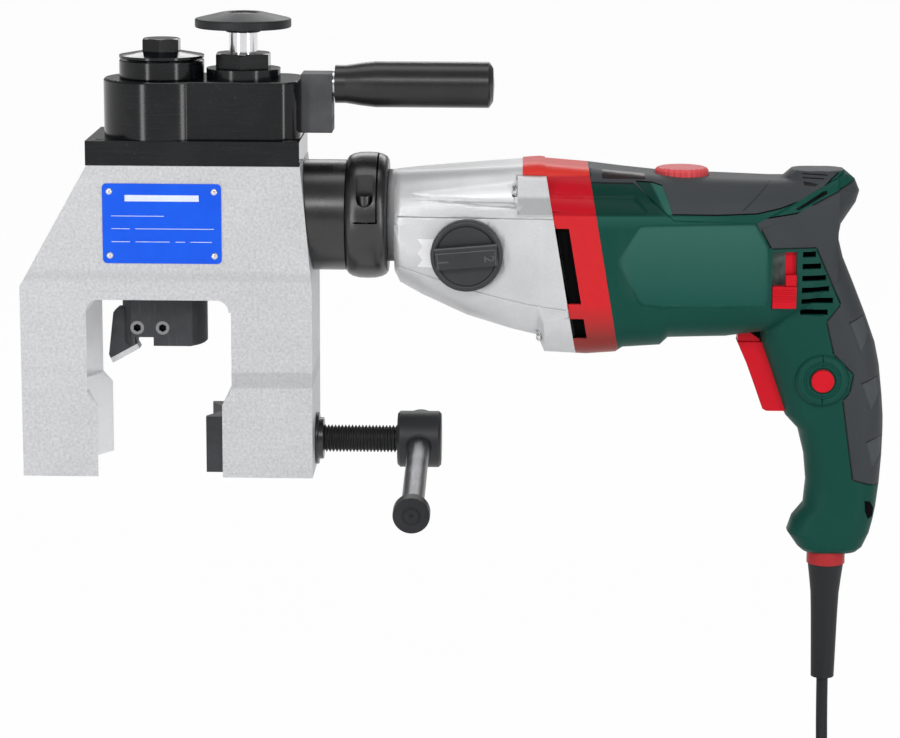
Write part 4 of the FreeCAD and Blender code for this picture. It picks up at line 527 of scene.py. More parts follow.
# Sleeve and clamp ring
# The adapter sleeve is a plain turned tube; the ring that grips the drill's collar bulges like a
# tyre, with a pocket for its screw and a slit. Both are blackened.
sleeve_black = black_oxide("blackened_turned", (0.007, 0.007, 0.008), 0.2, 0.12, specular=0.75)
edged("adapter_sleeve", 0.5, sleeve_black)
edged("clamp_ring", 0.25, sleeve_black, smooth=40)
dress(sleeve_black, "clamp_ring_screw")


# Clamp jaw and its nut
# The jaw is a blackened block with a vee; its screw runs in a flanged blackened nut.
edged("clamp_jaw", 0.5, blackened, "jaw")
edged("clamp_nut", 0.35, sleeve_black)
dress(bright, "jaw_pins")


# Clamp screw
# A blackened steel screw with a coarse cut thread and a drum head, cross-drilled for the bar.
thread_radius = 8.0
thread_root = 6.75
thread_pitch = 2.0
clamp_axis = 16.4
thread_start, thread_end = 56.2, 135.7

screw = welded("clamp_screw")
doomed = []
for face in screw.faces:
    centre = face.calc_center_median() / mm
    reach = math.hypot(centre.y, centre.z - clamp_axis)
    if thread_start < centre.x < thread_end + 0.1 and reach < thread_radius + 0.05:
        doomed.append(face)
bmesh.ops.delete(screw, geom=doomed, context="FACES")
bmesh.ops.holes_fill(screw, edges=[e for e in screw.edges if len(e.link_faces) == 1], sides=0)
chamfered(screw, 0.6 * mm)
lathe(screw, [(0, thread_start - 1.0), (thread_root, thread_start - 1.0), (thread_root, thread_end + 1.0),
              (0, thread_end + 1.0)], (0, 0, clamp_axis), (1, 0, 0), 48)


def thread_mesh(paint):
    """A ridge that winds along +X about the clamp's axis, swept by a geometry tree."""
    tree = Tree("thread")
    turns = (thread_end - thread_start) / thread_pitch
    count = tree.input("Turns", turns)
    root = tree.input("Root radius", thread_root * mm)
    height = tree.input("Length", (thread_end - thread_start) * mm)
    spiral = tree.node("GeometryNodeCurveSpiral", {}, {"Resolution": 28, "Rotations": count,
                                                       "Start Radius": root, "End Radius": root,
                                                       "Height": height, "Reverse": True})
    upright = tree.node("GeometryNodeSetCurveNormal", {"mode": "Z_UP"}, {"Curve": spiral})
    crest = (thread_radius - thread_root) * mm
    half = thread_pitch * mm * 0.48
    flat = thread_pitch * mm * 0.07
    wire = tree.node("GeometryNodeCurvePrimitiveQuadrilateral", {"mode": "POINTS"},
                     {"Point 1": (-0.0003, -half, 0), "Point 2": (crest, -flat, 0),
                      "Point 3": (crest, flat, 0), "Point 4": (-0.0003, half, 0)})
    swept = tree.node("GeometryNodeCurveToMesh", {}, {"Curve": upright, "Profile Curve": wire,
                                                      "Fill Caps": True})
    lying = tree.node("GeometryNodeTransform", {}, {"Geometry": swept, "Rotation": (0, math.pi / 2, 0),
                                                    "Translation": (thread_start * mm, 0, clamp_axis * mm)})
    tree.finish(lying, paint)
    return tree.grow(bpy.data.meshes.new("thread_base"), "thread")


thread_black = black_oxide("blackened_thread", (0.02, 0.02, 0.021), 0.4, 0.3)
screw_black = black_oxide("screw_black", (0.014, 0.0145, 0.016), 0.36, 0.2, specular=0.4)
across, up = screw_black.axis("X") - 0.14865, screw_black.axis("Z") - (clamp_axis * mm - 0.0013)
bore_shade = (0.000062 - (across * across + up * up)).above(0.0, 0.000006)
screw_black.colour((0.02, 0.021, 0.023), (0.001, 0.001, 0.001), bore_shade)
piece("clamp_screw_body", outward(screw), screw_black, "clamp_screw", ["clamp_screw"])
piece("clamp_screw_thread", thread_mesh(thread_black), thread_black, "clamp_screw")


# Sliding bar
# A ground steel bar, blackened and rubbed grey by use, with a turned cap at each end.
def rubbed_bar():
    paint = Paint("rubbed_bar", (0.3, 0.3, 0.31), 0.3, "bright_steel", Metallic=0.85)
    cloud = paint.noise(60.0, 4.0)
    lines = paint.noise(300.0, 2.0, (1, 0.08, 1))
    paint.colour((0.09, 0.092, 0.097), (0.34, 0.345, 0.355),
                 cloud.above(0.35, 0.8) * 0.6 + lines.above(0.5, 0.75) * 0.4)
    paint.set("Roughness", 0.26 + cloud * 0.2)
    return paint.bump(lines, 0.00001, 0.4)


rubbed = rubbed_bar()
cap_black = black_oxide("blackened_cap", (0.012, 0.0125, 0.014), 0.34, 0.4)
bar_tilt = math.radians(5.9)
bar_along = Vector((0, -math.cos(bar_tilt), -math.sin(bar_tilt)))
bar_centre = Vector((148.65, 0, clamp_axis))
bar_front, bar_rear = 133.5, -25.8
cap_radius, cap_length, bar_radius = 10.3, 9.0, 6.35

bar_rod = lathe(bmesh.new(), [(0, bar_rear + 1.2), (bar_radius - 0.3, bar_rear + 1.2),
                              (bar_radius, bar_rear + 2), (bar_radius, bar_front - 2),
                              (bar_radius - 0.3, bar_front - 1.2), (0, bar_front - 1.2)], bar_centre,
                bar_along, 40)
piece("sliding_bar", outward(bar_rod), rubbed, "tommy_bar", ["tommy_bar"])
bar_caps = bmesh.new()
for face, back in ((bar_front, bar_front - cap_length), (bar_rear, bar_rear + cap_length)):
    inward = 1 if back > face else -1
    # Turned rings on the cap's face, its rounded rim and its bore for the bar
    cap_profile = [(0, 1.0), (0.5, 1.0), (1.1, 0.35), (1.3, 0.35), (1.9, 0.0), (4.1, 0.0), (4.4, 0.35),
                   (4.9, 0.35), (5.2, 0.0), (cap_radius - 0.9, 0.0), (cap_radius - 0.25, 0.3),
                   (cap_radius, 1.0), (cap_radius, cap_length - 0.8), (cap_radius - 0.8, cap_length),
                   (bar_radius - 0.1, cap_length), (bar_radius - 0.1, 2.5), (0, 2.5)]
    lathe(bar_caps, [(r, face + inward * a) for r, a in cap_profile], bar_centre, bar_along, 40)
piece("bar_caps", outward(bar_caps), cap_black, "tommy_bar")


# Gear housing of the drill
# A die-cast housing in silver lacquer: a tapered rib and a sunk wedge run back from its neck, and a
# parting line and a rounded edge cross its sides.
def inside(outline, x, z):
    """Signed distance to a closed outline: positive inside it."""
    best, crossings = 1e9, 0
    for (x0, z0), (x1, z1) in zip(outline, outline[1:] + outline[:1]):
        dx, dz = x1 - x0, z1 - z0
        share = max(0.0, min(1.0, ((x - x0) * dx + (z - z0) * dz) / (dx * dx + dz * dz)))
        best = min(best, math.hypot(x - x0 - share * dx, z - z0 - share * dz))
        if (z0 > z) != (z1 > z) and x < x0 + (z - z0) / dz * dx:
            crossings += 1
    return best if crossings % 2 else -best


def drawn_in(outline, by):
    """The outline moved inwards by a distance."""
    area = sum(x0 * z1 - x1 * z0 for (x0, z0), (x1, z1) in zip(outline, outline[1:] + outline[:1]))
    turn = 1 if area > 0 else -1
    moved = []
    count = len(outline)
    for k in range(count):
        (xa, za), (xb, zb), (xc, zc) = outline[k - 1], outline[k], outline[(k + 1) % count]
        before = Vector((xb - xa, zb - za)).normalized()
        after = Vector((xc - xb, zc - zb)).normalized()
        normal_0 = Vector((-before.y, before.x)) * turn
        normal_1 = Vector((-after.y, after.x)) * turn
        middle = (normal_0 + normal_1).normalized()
        reach = by / max(0.3, middle.dot(normal_0))
        moved.append((xb + middle.x * reach, zb + middle.y * reach))
    return moved


def cut_along(work, outline, side):
    """Cut the skin of one side along an outline's edges, seen along Y."""
    xs, zs = [x * mm for x, z in outline], [z * mm for x, z in outline]
    low_x, high_x, low_z, high_z = min(xs) - mm, max(xs) + mm, min(zs) - mm, max(zs) + mm
    geometry = set()
    for face in work.faces:
        if face.normal.y * side < 0.03:
            continue
        places = [v.co for v in face.verts]
        if max(c.x for c in places) > low_x and min(c.x for c in places) < high_x and \
                max(c.z for c in places) > low_z and min(c.z for c in places) < high_z:
            geometry.update([face], face.edges, face.verts)
    for (x0, z0), (x1, z1) in zip(outline, outline[1:] + outline[:1]):
        cut = bmesh.ops.bisect_plane(work, geom=list(geometry), dist=1e-7, plane_co=(x0 * mm, 0, z0 * mm),
                                     plane_no=Vector((z1 - z0, 0, x0 - x1)).normalized())
        geometry.update(cut["geom"])


def carve(work, outline, depth, slope, sides=(-1, 1), painted_shading_amount=0.0):
    """Sink (or with a negative depth raise) an outline into the skin, with a sloping rim; the last value is
    written to the attribute by which a paint darkens a gap or recess as painted shade, or, where it is
    negative, lightens a face as painted light."""
    inner = drawn_in(outline, slope)
    layer = work.verts.layers.float.get("gap") or work.verts.layers.float.new("gap")
    left, right = min(x for x, z in outline), max(x for x, z in outline)
    bottom, top = min(z for x, z in outline), max(z for x, z in outline)
    for side in sides:
        cut_along(work, outline, side)
        cut_along(work, inner, side)
        work.normal_update()
        for v in work.verts:
            x, z = v.co.x / mm, v.co.z / mm
            if left < x < right and bottom < z < top and v.normal.y * side > 0.12:
                deep = inside(outline, x, z)
                if deep > 1e-4:
                    share = min(1.0, deep / slope)
                    v.co.y -= side * depth * mm * share
                    if painted_shading_amount > 0:
                        v[layer] = max(v[layer], painted_shading_amount * share)
                    elif v[layer] <= 0:
                        v[layer] = min(v[layer], painted_shading_amount * share)
    return work


def groove(x0, z0, x1, z1, width):
    """A thin outline round a line."""
    along = Vector((x1 - x0, z1 - z0)).normalized() * (width / 2)
    across = Vector((-along.y, along.x))
    return [(x0 - across.x, z0 - across.y), (x1 - across.x, z1 - across.y), (x1 + across.x, z1 + across.y),
            (x0 + across.x, z0 + across.y)]


skin_depth, middle_band = 0.3, 6.0


def inlay(node, outline, side, lift):
    """A thin plate that lies on a node's skin within an outline seen along Y."""
    skin = welded(node)
    cut_along(skin, outline, side)
    gone = []
    for face in skin.faces:
        centre = face.calc_center_median() / mm
        if face.normal.y * side < 0.03 or centre.y * side < middle_band or inside(outline, centre.x,
                                                                                  centre.z) < 0:
            gone.append(face)
    bmesh.ops.delete(skin, geom=gone, context="FACES")
    return plated(skin, lift)


def plated(skin, lift):
    """An open skin thickened both ways into a closed plate."""
    skin.normal_update()
    plate = bmesh.new()
    made = {}
    for v in skin.verts:
        made[v] = (plate.verts.new(v.co + v.normal * lift * mm),
                   plate.verts.new(v.co - v.normal * skin_depth * mm))
    for face in skin.faces:
        plate.faces.new([made[v][0] for v in face.verts])
        plate.faces.new([made[v][1] for v in reversed(face.verts)])
    for edge in skin.edges:
        if len(edge.link_faces) == 1:
            loop = edge.link_loops[0]
            a, b = loop.vert, loop.link_loop_next.vert
            plate.faces.new([made[b][0], made[a][0], made[a][1], made[b][1]])
    skin.free()
    return plate


def darken_gaps(paint, low, high, factor, gap_colour=(0.002, 0.002, 0.002), light=None):
    """The paint's two colours, with painted shade where the carved attribute is positive and painted light
    where it is negative.
    """
    gap = paint.node("ShaderNodeAttribute", {"attribute_name": "gap"}, {}, "Fac")
    colour = paint.blend(low, high, factor)
    if light:
        colour = paint.blend(colour, light, (0 - gap).above(0.0, 1.0))
    return paint.colour(colour, gap_colour, gap.above(0.0, 1.0))


def cast_silver():
    paint = Paint("silver_lacquer", (0.5, 0.51, 0.52), 0.4, "cast_silver", Metallic=0.3)
    fine = paint.noise(1500.0, 2.0)
    cloud = paint.noise(24.0, 3.0)
    low, high = (0.47, 0.472, 0.48), (0.82, 0.825, 0.84)
    height, along = paint.axis("Z"), paint.axis("X")
    # Painted shade: the boss round the upper screw is painted darker below its bevel
    on_boss = (along - 0.2049).above(0.0, 0.0004) * (height - 0.1545).above(0.0, 0.001)
    darkened = on_boss * (0.1662 - height).above(0.0, 0.002)
    low = paint.blend(low, (0.3, 0.301, 0.306), darkened)
    high = paint.blend(high, (0.52, 0.523, 0.532), darkened)
    darken_gaps(paint, low, high, cloud.above(0.3, 0.75) * 0.35 + fine * 0.5,
                (0.16, 0.16, 0.165), (0.86, 0.865, 0.88))
    paint.set("Roughness", 0.34 + fine * 0.14)
    return paint.bump(fine, 0.00004, 0.5)


silver = cast_silver()
# The housing's forms, seen from the side, in the frame's millimetres
rib_outline = [(141.5, 165.8), (203.6, 174.4), (203.6, 162.6), (160.0, 163.4)]
wedge_outline = [(143.5, 162.6), (204.2, 162.0), (204.2, 158.0)]
parting_line = (135.8, 152.6, 225.4, 152.6)
crease_points = [(135.8, 123.8), (161.8, 116.2), (190.2, 108.2), (210.8, 103.4), (233.4, 100.3)]
casting = welded("gear_housing")
# Painted light and shade: the rib is painted lighter, and the wedge, the parting line and the crease are
# painted darker
carve(casting, rib_outline, -0.9, 1.6, painted_shading_amount=-0.8)
carve(casting, wedge_outline, 1.3, 0.9, painted_shading_amount=0.35)
carve(casting, groove(*parting_line, 0.9), 0.45, 0.4, painted_shading_amount=0.8)
for start, end in zip(crease_points, crease_points[1:]):
    carve(casting, groove(*start, *end, 1.0), 0.4, 0.45, painted_shading_amount=0.45)
piece("gear_housing_cast", casting, silver, "machine", ["gear_housing"], smooth=28)
# The bridge is seen only through the ring's slots, and is painted near black as painted shade
painted_shade_black = Paint("painted_shade_black", (0.003, 0.003, 0.0035), 0.8, "black_plastic", Specular_IOR_Level=0.03)
painted_shade_black.colour((0.002, 0.002, 0.0025), (0.005, 0.005, 0.0055), painted_shade_black.noise(900.0))
dress(painted_shade_black, "bearing_bridge")

# Four pan-headed screws with a sunk middle pull the casting to the motor housing
screw_head = lathe(bmesh.new(), [(0, -1.5), (1.1, -2.55), (2.1, -2.4), (3.0, -1.7), (3.5, -0.6), (3.5, 0.0),
                                 (2.0, 0.1), (2.0, 6.0), (0, 6.0)], (0, 0, 0), (1, 0, 0), 24)
screw_places = [(204.7, -34.0, 168.5), (204.7, 34.0, 168.5), (218.8, -28.0, 84.0), (218.8, 28.0, 84.0)]
gearbox_heads = repeated("gearbox_heads", mesh_of(outward(screw_head), "gearbox_head"), screw_places, bright)
piece("gearbox_screw_heads", gearbox_heads, bright, "machine", ["gearbox_screws"])

# A light pad beside the selector, notched where its places are
pad_paint = Paint("pad_lacquer", (0.92, 0.92, 0.93), 0.5, "cast_silver")
pad_paint.colour((0.86, 0.86, 0.87), (0.97, 0.97, 0.98), pad_paint.noise(900.0))
pad_outline = [(148.3, 140.2), (157.6, 140.2), (155.2, 132.0), (157.0, 124.0), (148.3, 124.0), (151.0, 128.2),
               (148.3, 131.9), (151.0, 135.8)]
piece("selector_pad", inlay("gear_housing", pad_outline, -1, 0.3), pad_paint)


# Speed selector of the gears
# A black moulded knob with a rounded rim, a raised bar under a double ridge, and the digits 1 and
# 2 at the bar's ends.
selector_black = moulded_black("selector_black", (0.02, 0.021, 0.023), 0.36, 1500.0)
selector_x, selector_z = 176.3, 131.7
selector_tilt = math.radians(-5)
body_face = -35.3
knob = lathe(bmesh.new(), [(0, 5.0), (15.6, 5.0), (16.6, 5.3), (17.3, 6.2), (18.2, 6.6), (19.3, 6.5),
                           (20.2, 5.8), (20.5, 4.8), (20.5, 0.4), (5.0, 0.3), (5.0, -13.6), (0, -13.6)],
             (selector_x, body_face, selector_z), (0, -1, 0), 64)


def selector_slab(work, x0, x1, low, high, z0, z1, rim):
    """A bar on the selector, in its own turned axes, with broken edges."""
    corners = slab(work, x0, x1, body_face - high, body_face - low, z0, z1)
    turn = Matrix.Rotation(selector_tilt, 4, "Y")
    for v in corners:
        v.co = turn @ v.co + Vector((selector_x, 0, selector_z)) * mm
    edges = {e for v in corners for e in v.link_edges}
    bmesh.ops.bevel(work, geom=list(edges), offset=rim * mm, segments=2, affect="EDGES", profile=0.5)


selector_slab(knob, -17.6, 17.6, 4.5, 10.0, -6.4, 6.4, 0.7)
piece("selector_knob", outward(knob), selector_black, "gear_selector", ["gear_selector"], smooth=35)
digit_paint = Paint("digit_grey", (0.12, 0.122, 0.126), 0.4, "black_plastic")
digit_paint.colour((0.05, 0.051, 0.054), (0.1, 0.102, 0.106), digit_paint.noise(1200.0))
ridges = bmesh.new()
selector_slab(ridges, -17.8, 17.8, 9.6, 10.4, 5.2, 6.2, 0.3)
selector_slab(ridges, -17.3, 17.3, 9.6, 10.35, 2.7, 3.4, 0.25)
for mark_x in (-16.4, 16.4):
    selector_slab(ridges, mark_x - 0.3, mark_x + 0.3, 9.6, 10.25, -5.6, 2.4, 0.1)
piece("selector_ridges", outward(ridges), digit_paint, "gear_selector")


def digit_mesh(word, x, z, height, turn):
    """A raised digit on the selector's bar."""
    text = bpy.data.curves.new("digit_" + word, "FONT")
    text.body = word
    text.size = height * mm
    text.extrude = 0.25 * mm
    text.offset = 0.12 * mm
    text.align_x, text.align_y = "CENTER", "CENTER"
    mesh = final_mesh(placed("digit", text))
    place = Matrix.Translation(Vector((selector_x, body_face - 10.1, selector_z)) * mm)
    lay = Matrix.Rotation(selector_tilt, 4, "Y") @ Matrix.Translation(Vector((x, 0, z)) * mm)
    stand = Matrix.Rotation(math.radians(90), 4, "X") @ Matrix.Rotation(turn, 4, "Z")
    mesh.transform(place @ lay @ stand)
    return mesh


for word, digit_x, quarter in (("1", -12.8, 90), ("2", 12.6, -90)):
    piece("selector_digit_" + word, digit_mesh(word, digit_x, -1.8, 8.0, math.radians(quarter)), digit_paint,
          "gear_selector")


# Ring cover
# The red plastic ring between gear housing and motor housing, with slanted air slots over a black
# sheet of painted shade; its lip reaches forward over the casting, painted brighter and more orange there as
# painted light.
def red_plastic(name, colour, painted_ring_shading=False):
    paint = Paint(name, colour, 0.34, "red_plastic", Specular_IOR_Level=0.14)
    cloud = paint.noise(22.0, 2.0)
    fine = paint.noise(1800.0, 2.0)
    low, high = tuple(c * 0.86 for c in colour), tuple(min(1, c * 1.08) for c in colour)
    if painted_ring_shading:
        # Painted light and shade: deeper red on the raised facet, paler below it, darker underneath, and
        # lighter and more orange on the lip
        height = paint.axis("Z")
        low = paint.blend((0.62, 0.02, 0.026), (0.47, 0.004, 0.013), (height - 0.1542).above(0.0, 0.001))
        low = paint.blend(low, (0.27, 0.035, 0.03), (0.104 - height).above(0.0, 0.02))
        low = paint.blend(low, (0.7, 0.03, 0.02), (height - 0.1755).above(0.0, 0.0012))
        high = low
    darken_gaps(paint, low, high, cloud, (0.004, 0.003, 0.003))
    paint.set("Roughness", 0.3 + fine * 0.12)
    return paint.bump(fine, 0.00002, 0.4)


red = red_plastic("red_plastic", (0.62, 0.007, 0.018))
ring_red = red_plastic("red_ring", (0.6, 0.012, 0.02), True)
# The raised facet that runs from the ring back over the motor housing
facet_outline = [(214.0, 166.4), (271.0, 166.0), (281.0, 154.8), (214.0, 154.8)]
ring = welded("ring_cover")
carve(ring, facet_outline, -1.0, 1.5)
# The air slots run right up to the seam with the casting; their floors are painted black as painted shade
seam_at = [(high, 220.4 + (181.0 - high) * 0.1727) for high in (147.4, 103.9, 95.5, 83.7)]
for (top_z, top_x), (low_z, low_x) in (seam_at[:2], seam_at[2:]):
    carve(ring, [(top_x - 0.6, top_z), (top_x + 1.55, top_z), (low_x + 1.55, low_z), (low_x - 0.6, low_z)],
          1.6, 0.05, painted_shading_amount=1.0)
piece("ring_cover_moulded", ring, ring_red, "machine", ["ring_cover"], smooth=28)

lip_left, lip_low = 207.8, 176.3
lip = welded("gear_housing")
for place, normal in (((lip_left, 0, 0), (1, 0, 0)), ((0, 0, lip_low), (0, 0, 1))):
    bmesh.ops.bisect_plane(lip, geom=lip.verts[:] + lip.edges[:] + lip.faces[:], dist=1e-7,
                           plane_co=Vector(place) * mm, plane_no=normal, clear_inner=True)
lip.normal_update()
inner_faces = []
for face in lip.faces:
    centre = face.calc_center_median() / mm
    away = Vector((0, centre.y, centre.z - 140.0)).normalized()
    if face.normal.dot(away) < 0.2:
        inner_faces.append(face)
bmesh.ops.delete(lip, geom=inner_faces, context="FACES")
piece("ring_cover_lip", plated(lip, 0.7), ring_red, smooth=28)


def shade_sheet_section(x, inset):
    """The ring's inner outline at a place along X, as points round it."""
    half, low, high, corner = 37.4 - inset, 72.8 + inset, 180.6 - inset, 24.0 - inset
    points = []
    for cx, cz, start in ((half - corner, high - corner, 0), (corner - half, high - corner, 90),
                          (corner - half, low + corner, 180), (half - corner, low + corner, 270)):
        for k in range(9):
            angle = math.radians(start + 11.25 * k)
            points.append((x, cx + corner * math.cos(angle), cz + corner * math.sin(angle)))
    return points


# A black sheet of painted shade inside the ring, behind its slots, stands in for the dark inside of the
# housing
guide = bmesh.new()
shade_sheet_rings = []
for x, inset in ((231.4, 3.6), (246.5, 3.9), (246.5, 5.2), (231.4, 4.9)):
    shade_sheet_rings.append([guide.verts.new(Vector(p) * mm) for p in shade_sheet_section(x, inset)])
for first, second in zip(shade_sheet_rings, shade_sheet_rings[1:] + shade_sheet_rings[:1]):
    for k in range(len(first)):
        guide.faces.new([first[k], first[k - 1], second[k - 1], second[k]])
piece("air_guide", outward(guide), painted_shade_black)


# Motor housing
# Two glass-filled nylon halves, moulded in dark green with a fine texture, screwed together on
# the middle plane; a sunk panel and a raised facet break up each side.
def green_plastic():
    paint = Paint("green_nylon", (0.003, 0.045, 0.032), 0.42, "green_plastic", Specular_IOR_Level=0.12)
    fine = paint.noise(1900.0, 2.0)
    cloud = paint.noise(16.0, 3.0)
    height, along = paint.axis("Z"), paint.axis("X")
    # Painted shade: the raised facet at the front is painted the darkest; painted light: the sunk panel is
    # painted paler towards its top
    facet = (height - 0.1545).above(0.0, 0.001) * (0.292 - along).above(0.0, 0.008)
    # Painted highlight: the bevel behind that facet and the shoulder below it are painted lighter
    bevel = (along + (height - 0.155) * 0.55 - 0.2893).above(0.0, 0.0015)
    bevel = bevel * (height - 0.1552).above(0.0, 0.0008) * (0.322 - along).above(0.0, 0.012)
    shoulder = (0.1546 - height).above(0.0, 0.0006) * (height - 0.147).above(0.0, 0.0076)
    shoulder = shoulder * (0.33 - along).above(0.0, 0.03)
    mottle_and_painted_highlight = (bevel + shoulder * 0.7).above(0.0, 1.0)
    low = paint.blend(paint.blend((0.0014, 0.044, 0.031), (0.0004, 0.026, 0.018), facet),
                      (0.016, 0.09, 0.07), mottle_and_painted_highlight)
    high = paint.blend(paint.blend((0.008, 0.078, 0.06), (0.001, 0.04, 0.029), facet), (0.024, 0.12, 0.096),
                       mottle_and_painted_highlight)
    panel_painted_light = paint.blend((0.008, 0.078, 0.06), (0.034, 0.125, 0.102), (height - 0.1).above(0.0, 0.045))
    darken_gaps(paint, low, high, cloud * 0.55 + fine * 0.4, light=panel_painted_light)
    paint.set("Roughness", 0.38 + fine * 0.14)
    return paint.bump(fine, 0.00004, 0.5)


green = green_plastic()
panel = [(274.2, 149.2), (340.2, 150.6), (348.0, 137.1), (348.4, 101.3), (287.6, 101.3), (274.5, 103.5),
         (261.3, 128.3)]
# The edge between green housing and soft covers, along which a thin groove is painted black as painted shade
soft_top_edge = [(246.6, 172.8), (271.3, 172.0), (279.0, 165.5), (293.6, 152.4), (341.0, 150.7),
                 (356.0, 158.6), (392.2, 177.2)]
soft_grip_edge = [(399.8, 173.5), (372.0, 160.2), (356.0, 152.0), (343.0, 147.6), (349.3, 136.0),
                  (375.2, 136.2), (390.7, 102.4), (382.8, 92.2), (387.6, 72.7), (399.5, 61.0), (397.5, 50.0),
                  (393.7, 45.3), (400.9, -2.1), (413.6, -5.7), (417.5, -5.7)]
gap_width = 1.5
gap_lines = []
for edge_points in (soft_top_edge[:2], soft_grip_edge[:2], soft_grip_edge[3:]):
    for start, end in zip(edge_points, edge_points[1:]):
        gap_lines.append(groove(*start, *end, gap_width))
slot_outline = [(362.3, 158.3), (364.6, 157.6), (380.6, 166.0), (381.4, 168.1), (378.8, 167.9)]
for node, side in (("left_housing", -1), ("right_housing", 1)):
    half = welded(node)
    carve(half, facet_outline, -1.0, 1.5, [side])
    # The sunk panel is painted lighter as painted light; the gap lines and the slot are painted dark as
    # painted shade
    carve(half, panel, 2.0, 1.7, [side], painted_shading_amount=-0.9)
    for line in gap_lines:
        carve(half, line, 0.5, 0.7, [side], painted_shading_amount=0.95)
    carve(half, slot_outline, 1.4, 0.5, [side], painted_shading_amount=1.0)
    piece(node + "_moulded", half, green, "machine", [node], 28)


# Soft covers
# Dark grey rubber moulded over the top of the housing and the back of the grip, with finger
# notches down its back and a small display window at its front.
def soft_rubber(name, colour=(0.036, 0.041, 0.045)):
    paint = Paint(name, colour, 0.6, "soft_rubber", Specular_IOR_Level=0.25)
    fine = paint.noise(2400.0, 2.0)
    cloud = paint.noise(20.0, 3.0)
    # Painted shade darkens the carved grooves and vents; painted light, at twice the colour, lightens the
    # finger notches
    darken_gaps(paint, tuple(c * 0.75 for c in colour), tuple(c * 1.3 for c in colour),
                cloud * 0.6 + fine * 0.4, light=tuple(c * 2.0 for c in colour))
    paint.set("Sheen Weight", 0.08)
    return paint.bump(fine, 0.00005, 0.5)


rubber = soft_rubber("soft_rubber")
finger_notches = [[(395.6, 91.2), (404.4, 95.0), (408.4, 84.5), (403.2, 73.0)],
                  [(403.8, 55.2), (414.0, 59.1), (416.2, 48.5), (410.2, 38.0)],
                  [(407.7, 20.4), (417.9, 23.8), (418.4, 13.0), (412.4, 3.5)]]
top_vents = [[(367.2, 177.0), (381.9, 176.2), (381.9, 175.3), (367.2, 176.1)],
             [(367.3, 174.9), (379.7, 174.3), (379.7, 173.4), (367.3, 174.0)],
             [(367.6, 172.4), (376.6, 171.4), (374.2, 170.0), (368.2, 170.4)]]
soft = welded("soft_cover")
# The groove, the notches' upper edges and the vents are painted dark as painted shade; the notches' faces are
# painted lighter as painted light
carve(soft, groove(350.2, 174.0, 332.6, 157.6, 1.0), 0.4, 0.45, painted_shading_amount=0.6)
for notch in finger_notches:
    carve(soft, notch, 1.0, 1.1, painted_shading_amount=-0.7)
    carve(soft, groove(*notch[0], *notch[1], 1.4), 0.6, 0.5, painted_shading_amount=1.0)
for line in gap_lines:
    carve(soft, line, 0.5, 0.7, painted_shading_amount=0.95)
for vent in top_vents:
    carve(soft, vent, 0.8, 0.3, painted_shading_amount=1.0)
piece("soft_cover_moulded", soft, rubber, "machine", ["soft_cover"], smooth=28)
# The green housing's lip laps over the cover's lower edge, and the cover's cuff over the grip;
# a thin black strip along the upper edge of each is painted shade in the gap there
lip_line = [(272.3, 172.6), (281.5, 171.9), (287.1, 170.3), (290.2, 163.2), (292.6, 155.2), (317.3, 154.9),
            (341.0, 155.7), (353.9, 158.5), (366.7, 162.8), (379.5, 169.7), (388.0, 176.6)]
lip_outline = lip_line + [(395.5, 179.0), (394.0, 176.5), (356.0, 157.4), (341.0, 149.3), (293.0, 151.2)]
cuff_line = [(339.8, 152.4), (358.8, 155.0), (366.0, 156.2), (372.0, 158.6)]
cuff_outline = cuff_line + [(356.0, 150.5), (343.0, 146.2)]


def strip_over(line):
    """A thin outline that lies along the upper side of a line."""
    return line + [(x - 0.2, z + 0.75) for x, z in reversed(line)]


for side, tag in ((-1, "left"), (1, "right")):
    half_node = tag + "_housing"
    for name, node, outline, lift, paint in (
            ("housing_lip_", "soft_cover", lip_outline, 0.35, green),
            ("lip_gap_", "soft_cover", strip_over(lip_line), 0.2, painted_shade_black),
            ("grip_cuff_", half_node, cuff_outline, 0.3, rubber),
            ("cuff_gap_", half_node, strip_over(cuff_line), 0.2, painted_shade_black)):
        piece(name + tag, inlay(node, outline, side, lift), paint, smooth=40)
window_black = Paint("window_black", (0.008, 0.008, 0.009), 0.3, "black_plastic", Specular_IOR_Level=0.15)
window_black.colour((0.006, 0.006, 0.007), (0.03, 0.014, 0.015), window_black.noise(120.0, 2.0, (1, 1, 2)))
window_outline = [(253.0, 178.6), (277.3, 177.4), (277.4, 173.9), (253.0, 174.7)]
piece("display_window", inlay("soft_cover", window_outline, -1, 0.15), window_black)
# A thin black plate over the grip's screw hole is painted shade in its recess
screw_shade_outline = [(408.3, -14.6), (411.6, -15.4), (414.2, -20.0), (413.8, -25.0), (410.8, -26.0),
                  (408.8, -21.0)]
piece("grip_screw_recess", inlay("left_housing", screw_shade_outline, -1, 0.1), painted_shade_black)


# Lock button boss
# A raised collar moulded on the left half round the lock button, with a turned groove.
lock_x, lock_z = 381.4, 57.7
boss = lathe(bmesh.new(), [(7.0, 15.0), (15.6, 15.0), (15.6, 19.0), (15.1, 20.4), (13.9, 21.6), (12.3, 22.3),
                           (11.0, 22.3), (10.3, 21.7), (9.6, 21.7), (9.0, 22.3), (8.0, 22.3), (7.3, 21.9),
                           (7.0, 21.2), (7.0, 15.0)], (lock_x, 0, lock_z), (0, -1, 0), 72)
bmesh.ops.remove_doubles(boss, verts=boss.verts, dist=1e-6)
# Two short grooves in the collar, above and below the button, are painted dark as painted shade
for low, high in ((8.4, 15.2), (-15.2, -8.4)):
    carve(boss, groove(lock_x, lock_z + low, lock_x, lock_z + high, 0.8), 0.5, 0.35, [-1], painted_shading_amount=0.9)
piece("lock_boss", outward(boss), green, smooth=40)


